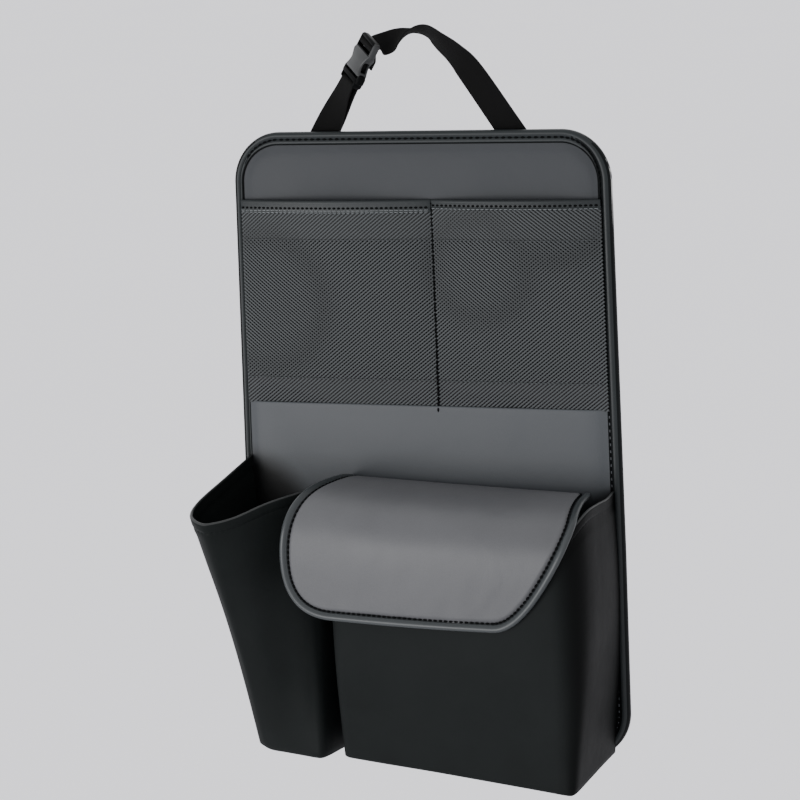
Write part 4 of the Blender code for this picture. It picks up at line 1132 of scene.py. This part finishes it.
# %% The long strap over the arch
ARCH = ((0.038, 0.985, 0.0130, (0.36, -0.55, -0.74)), (0.108, 1.021, 0.0150, (0.34, -0.60, -0.72)),
        (0.192, 1.073, 0.0135, (0.33, -0.88, -0.33)), (0.283, 1.110, 0.0110, (0.38, -0.91, 0.15)),
        (0.397, 1.102, 0.0085, (0.35, -0.80, 0.49)), (0.500, 0.991, 0.0060, (0.52, -0.66, 0.54)),
        (0.614, 0.845, 0.0045, (0.70, -0.46, 0.55)), (0.734, 0.622, 0.0038, (0.79, -0.12, 0.60)))
behind_socket = BODY / 2 + 0.0003 + 0.0015
points = [buckle @ Vector((0, behind_socket, z)) for z in (0.0110, 0.0130, 0.0150, 0.0172, 0.0195)]
points.append(buckle @ Vector((0, FRAME / 2 + 0.0007, SOCKET_BAR - BAR_RADIUS - 0.0012)))
for i in range(17):
    angle = math.pi * i / 16
    round_bar = Vector((0, -BAR_RADIUS * math.sin(angle), SOCKET_BAR - BAR_RADIUS * math.cos(angle)))
    points.append(buckle @ round_bar)
points.append(buckle @ Vector((0, FRAME / 2, SOCKET_BAR + BAR_RADIUS - 0.0003)))
widths = [buckle_across] * len(points)
start = buckle @ Vector((0, FRAME / 2 + 0.0024, SOCKET_BAR + BAR_RADIUS + 0.0012))
foot = Vector((RIGHT_X, 0.0028, TOP))
route, turns = [start], [buckle_across]
for along, rise, behind, width in ARCH:
    route.append(Vector((start.x + (foot.x - start.x) * along, behind, TOP + (start.z - TOP) * rise)))
    turns.append(Vector(width))
route.append(foot)
turns.append(Vector((0.79, 0.0, 0.61)))
for i in range(101):
    points.append(through(route, i / 100))
    widths.append(through(turns, i / 100).normalized())
down = foot - route[-2]
down.y = 0
for i in range(1, 9):
    points.append(foot + down.normalized() * (0.022 * i / 8))
    widths.append(turns[-1])
long_strap = ribbon("long_strap", points, widths, 1.0)
long_strap.data.materials.append(webbing)
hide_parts("strap_long")
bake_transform(long_strap)
print("long strap", len(points), "stations")

# %% [markdown]
# ## The buckle
# The socket starts as a cube primitive. It is bisected at a few heights, each ring of points is
# scaled to the waist and the flared frame, and its openings are cut with plain blocks. The plug is
# made the same way, with two sprung arms that show in the socket's side windows.

# %% Blocks, rings and openings
def block(name, low, high, heights=()):
    deselect()
    centre = [(a + b) / 2 for a, b in zip(low, high)]
    bpy.ops.mesh.primitive_cube_add(size=1, location=centre, scale=[b - a for a, b in zip(low, high)])
    piece = bpy.context.object
    piece.name = name
    bpy.ops.object.transform_apply(location=True, rotation=True, scale=True)
    bpy.ops.object.mode_set(mode="EDIT")
    for z in heights:
        bpy.ops.mesh.select_all(action="SELECT")
        bpy.ops.mesh.bisect(plane_co=(0, 0, z), plane_no=(0, 0, 1))
    bpy.ops.object.mode_set(mode="OBJECT")
    return piece


def ring(piece, z, across, deep):
    """Scale the ring of points at height z, about the block's own axis."""
    only(piece)
    for vertex in piece.data.vertices:
        vertex.select = abs(vertex.co.z - z) < 0.00005
    for edge in piece.data.edges:
        edge.select = all(piece.data.vertices[i].select for i in edge.vertices)
    bpy.ops.object.mode_set(mode="EDIT")
    bpy.ops.transform.resize(value=(across, deep, 1), center_override=(0, 0, z))
    bpy.ops.object.mode_set(mode="OBJECT")


def cut(piece, low, high, soften=0.0):
    tool = block("opening", low, high)
    if soften:
        modify(tool, "BEVEL", width=soften, segments=2)
    modify(piece, "BOOLEAN", object=tool, operation="DIFFERENCE", solver="EXACT")
    bpy.data.objects.remove(tool)


def join(first, *others):
    deselect()
    for piece in (first, *others):
        piece.select_set(True)
    bpy.context.view_layer.objects.active = first
    bpy.ops.object.join()
    return first


def place_on_strap(piece):
    piece.data.transform(buckle)
    piece.data.update()
    smooth(piece, 40)


# %% The socket
HALF, LENGTH, CAVITY, SLOT_HALF = 0.0149, 0.0362, 0.0195, 0.0129
SHARP_EDGES = {"limit_method": "ANGLE", "angle_limit": math.radians(28)}
levels = (0.0023, 0.0058, 0.0098, 0.0129, 0.0195, 0.0225, 0.0342)
socket = block("socket_shell", (-HALF, -BODY / 2, 0), (HALF, BODY / 2, LENGTH), levels)
for z, across, deep in ((0.0, 0.86, 0.86), (0.0058, 0.86, 1.0), (0.0098, 0.76, 1.0), (0.0129, 0.76, 1.0),
                        (0.0195, 0.96, 1.0), (0.0225, 1.0, 0.68), (0.0342, 1.0, 0.66), (LENGTH, 0.86, 0.54)):
    ring(socket, z, across, deep)
modify(socket, "BEVEL", width=0.0011, segments=3, **SHARP_EDGES)
cut(socket, (-0.0098, -0.0031, -0.01), (0.0098, 0.0031, CAVITY))
for left, right in ((0.0052, 0.03), (-0.03, -0.0052)):
    cut(socket, (left, -0.0028, 0.0056), (right, 0.0028, 0.0158), 0.0008)
for low, high in ((0.0236, 0.0278), (0.0302, 0.0328)):
    cut(socket, (-SLOT_HALF, -0.02, low), (SLOT_HALF, 0.02, high), 0.0004)
cut(socket, (-SLOT_HALF, -0.02, 0.0236), (SLOT_HALF, -0.0012, 0.0328))
cut(socket, (-SLOT_HALF, 0.0012, 0.0236), (SLOT_HALF, 0.02, 0.0328))
# The socket's frame, except its right rim, takes the darker plastic as painted shade.
for face in socket.data.polygons:
    face.material_index = int(face.center.z > 0.0222 and face.center.x < 0.0128)
place_on_strap(socket)
dress(socket, (buckle_plastic, shaded_buckle_plastic), "buckle", "buckle_socket", body="socket")

# %% The plug and its two arms
plug = block("plug_body", (-0.0165, -FRAME / 2, -PLUG_BASE), (0.0165, FRAME / 2, -0.0003), (-0.0084, -0.0032))
for z, across, deep in ((-PLUG_BASE, 0.88, 0.8), (-0.0084, 1.0, 1.0), (-0.0032, 0.98, 1.2),
                        (-0.0003, 0.88, 1.3)):
    ring(plug, z, across, deep)
modify(plug, "BEVEL", width=0.0011, segments=3, **SHARP_EDGES)
cut(plug, (-SLOT_HALF, -0.02, -0.0079), (SLOT_HALF, 0.02, -0.0042), 0.0004)
cut(plug, (-SLOT_HALF, -0.02, -0.02), (SLOT_HALF, -0.0012, -0.0075))
cut(plug, (-SLOT_HALF, 0.0012, -0.02), (SLOT_HALF, 0.02, -0.0075))
arms = []
for side in (-1, 1):
    arm = block("arm", (-0.0015, -0.0023, -0.0015), (0.0015, 0.0023, 0.0185),
                (0.0063, 0.0083, 0.0124, 0.0150))
    for z, across in ((0.0083, 1.6), (0.0124, 1.6), (0.0185, 0.6)):
        ring(arm, z, across, 1.0)
    modify(arm, "BEVEL", width=0.0004, segments=2, **SHARP_EDGES)
    arm.data.transform(Matrix.Translation((side * 0.0080, 0, 0)))
    arms.append(arm)
guide = block("guide", (-0.0024, -0.0023, -0.0015), (0.0024, 0.0023, 0.0185))
modify(guide, "BEVEL", width=0.0005, segments=2)
shoulders = []
for low, high in ((-0.0166, -0.0130), (0.0130, 0.0166)):
    shoulder = block("shoulder", (low, -0.0040, -0.0050), (high, 0.0040, 0.0042), (0.0010,))
    ring(shoulder, 0.0042, 0.985, 0.72)
    modify(shoulder, "BEVEL", width=0.0013, segments=3, **SHARP_EDGES)
    shoulders.append(shoulder)
# The plug's body takes the darker plastic as painted shade; the arms keep the lighter one.
for arm in arms:
    for face in arm.data.polygons:
        face.material_index = 1
plug = join(plug, *arms, guide, *shoulders)
place_on_strap(plug)
dress(plug, (shaded_buckle_plastic, buckle_plastic), "buckle", "buckle_plug")

# %% [markdown]
# ## What the CAD frame shows itself
# The lining on the back, the hidden board and the feet of the two pockets stay as the frame has them.
# They only get their finishes. The strap tails on the back are sewn down with two rows of stitches.

# %% Finishes of the plain nodes and stitches on the back
for name, material in (("back_lining", lining_cloth), ("stiffener_board", board_sheet),
                       ("cup_pocket_foot", black_leather), ("main_pocket_foot", black_leather)):
    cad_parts[name].data.materials.clear()
    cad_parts[name].data.materials.append(material)
    print(name, "is finished in", material.name)
places = []
for foot_point, direction, across, depth in (
        (Vector((LEFT_X, 0, TOP)), -axis, flat_across, STRAP_BACK + 0.0017),
        (Vector((RIGHT_X, 0, TOP)), down.normalized(), turns[-1], 0.0036)):
    across = (across - direction * across.dot(direction)).normalized()
    for distance in (0.012, 0.019):
        for i in range(7):
            at = foot_point + direction * distance + across * mix(-0.0102, 0.0102, i / 6)
            places.append((Vector((at.x, depth, at.z)), across, REAR))
sew("strap_tail_stitches", places, black_thread, "webbing", length=0.0026, width=0.0007, height=0.0005)

# %% [markdown]
# ## Studio and camera
# A large pale floor fills the whole view, because the camera looks slightly down. It glows a little,
# as a lit studio floor does. The surroundings are bright and even, and one wide, soft light stands low
# in front of the bag, to its left.

# %% Floor
bpy.ops.mesh.primitive_plane_add(size=60, location=(0, 24, -0.90))
floor = bpy.context.object
floor.name = "floor"
floor_material, tree, shader = start_material("pale floor", (0.86, 0.855, 0.885), 0.9)
slow = pattern(tree, coordinates(tree), "Noise", Scale=0.4, Detail=1.0)
tone = ramp(tree, slow.outputs["Fac"], 0.3, 0.7, (0.855, 0.85, 0.88), (0.865, 0.86, 0.89))
tree.links.new(tone, shader.inputs["Base Color"])
shader.inputs["Emission Color"].default_value = (0.975, 0.965, 1.0, 1)
shader.inputs["Emission Strength"].default_value = 0.12
floor.data.materials.append(floor_material)

# %% Surroundings and the light in front
world = bpy.data.worlds.new("studio")
world.use_nodes = True
world.node_tree.nodes["Background"].inputs["Color"].default_value = (0.98, 0.98, 1.0, 1)
world.node_tree.nodes["Background"].inputs["Strength"].default_value = 1.41
bpy.context.scene.world = world

LIGHT_PLACE, LIGHT_TARGET = Vector((-1.45, -2.8, -0.25)), Vector((0, 0, -0.05))
bpy.ops.object.light_add(type="AREA", location=LIGHT_PLACE)
light = bpy.context.object
light.name = "front light"
light.data.shape = "RECTANGLE"
light.data.size, light.data.size_y = 1.7, 1.3
light.data.energy = 86
light.rotation_euler = (LIGHT_TARGET - LIGHT_PLACE).to_track_quat("-Z", "Y").to_euler()
print("light", light.data.energy, "W")

# %% [markdown]
# The camera stands where the photographer stood: to the right of the bag, a little above it and far
# away, with a long lens. It is rolled by two and a half degrees, as the photo is.

# %% Camera
CAMERA_PLACE = (0.9738, -2.4202, 0.4878)
azimuth, elevation, roll = math.radians(22.5), math.radians(9.7), -0.043
towards = Vector((math.sin(azimuth) * math.cos(elevation), -math.cos(azimuth) * math.cos(elevation),
                  math.sin(elevation)))
right = Vector((math.cos(azimuth), math.sin(azimuth), 0))
up = towards.cross(right)
camera_right = math.cos(roll) * right + math.sin(roll) * up
camera_up = -math.sin(roll) * right + math.cos(roll) * up
lens = bpy.data.cameras.new("photo camera")
lens.lens, lens.sensor_width, lens.clip_end = 130.41, 36, 200
camera = bpy.data.objects.new("photo camera", lens)
bpy.context.scene.collection.objects.link(camera)
turned = Matrix((camera_right, camera_up, towards)).transposed().to_4x4()
camera.matrix_world = Matrix.Translation(CAMERA_PLACE) @ turned
bpy.context.scene.camera = camera
print("camera", lens.lens, "mm")
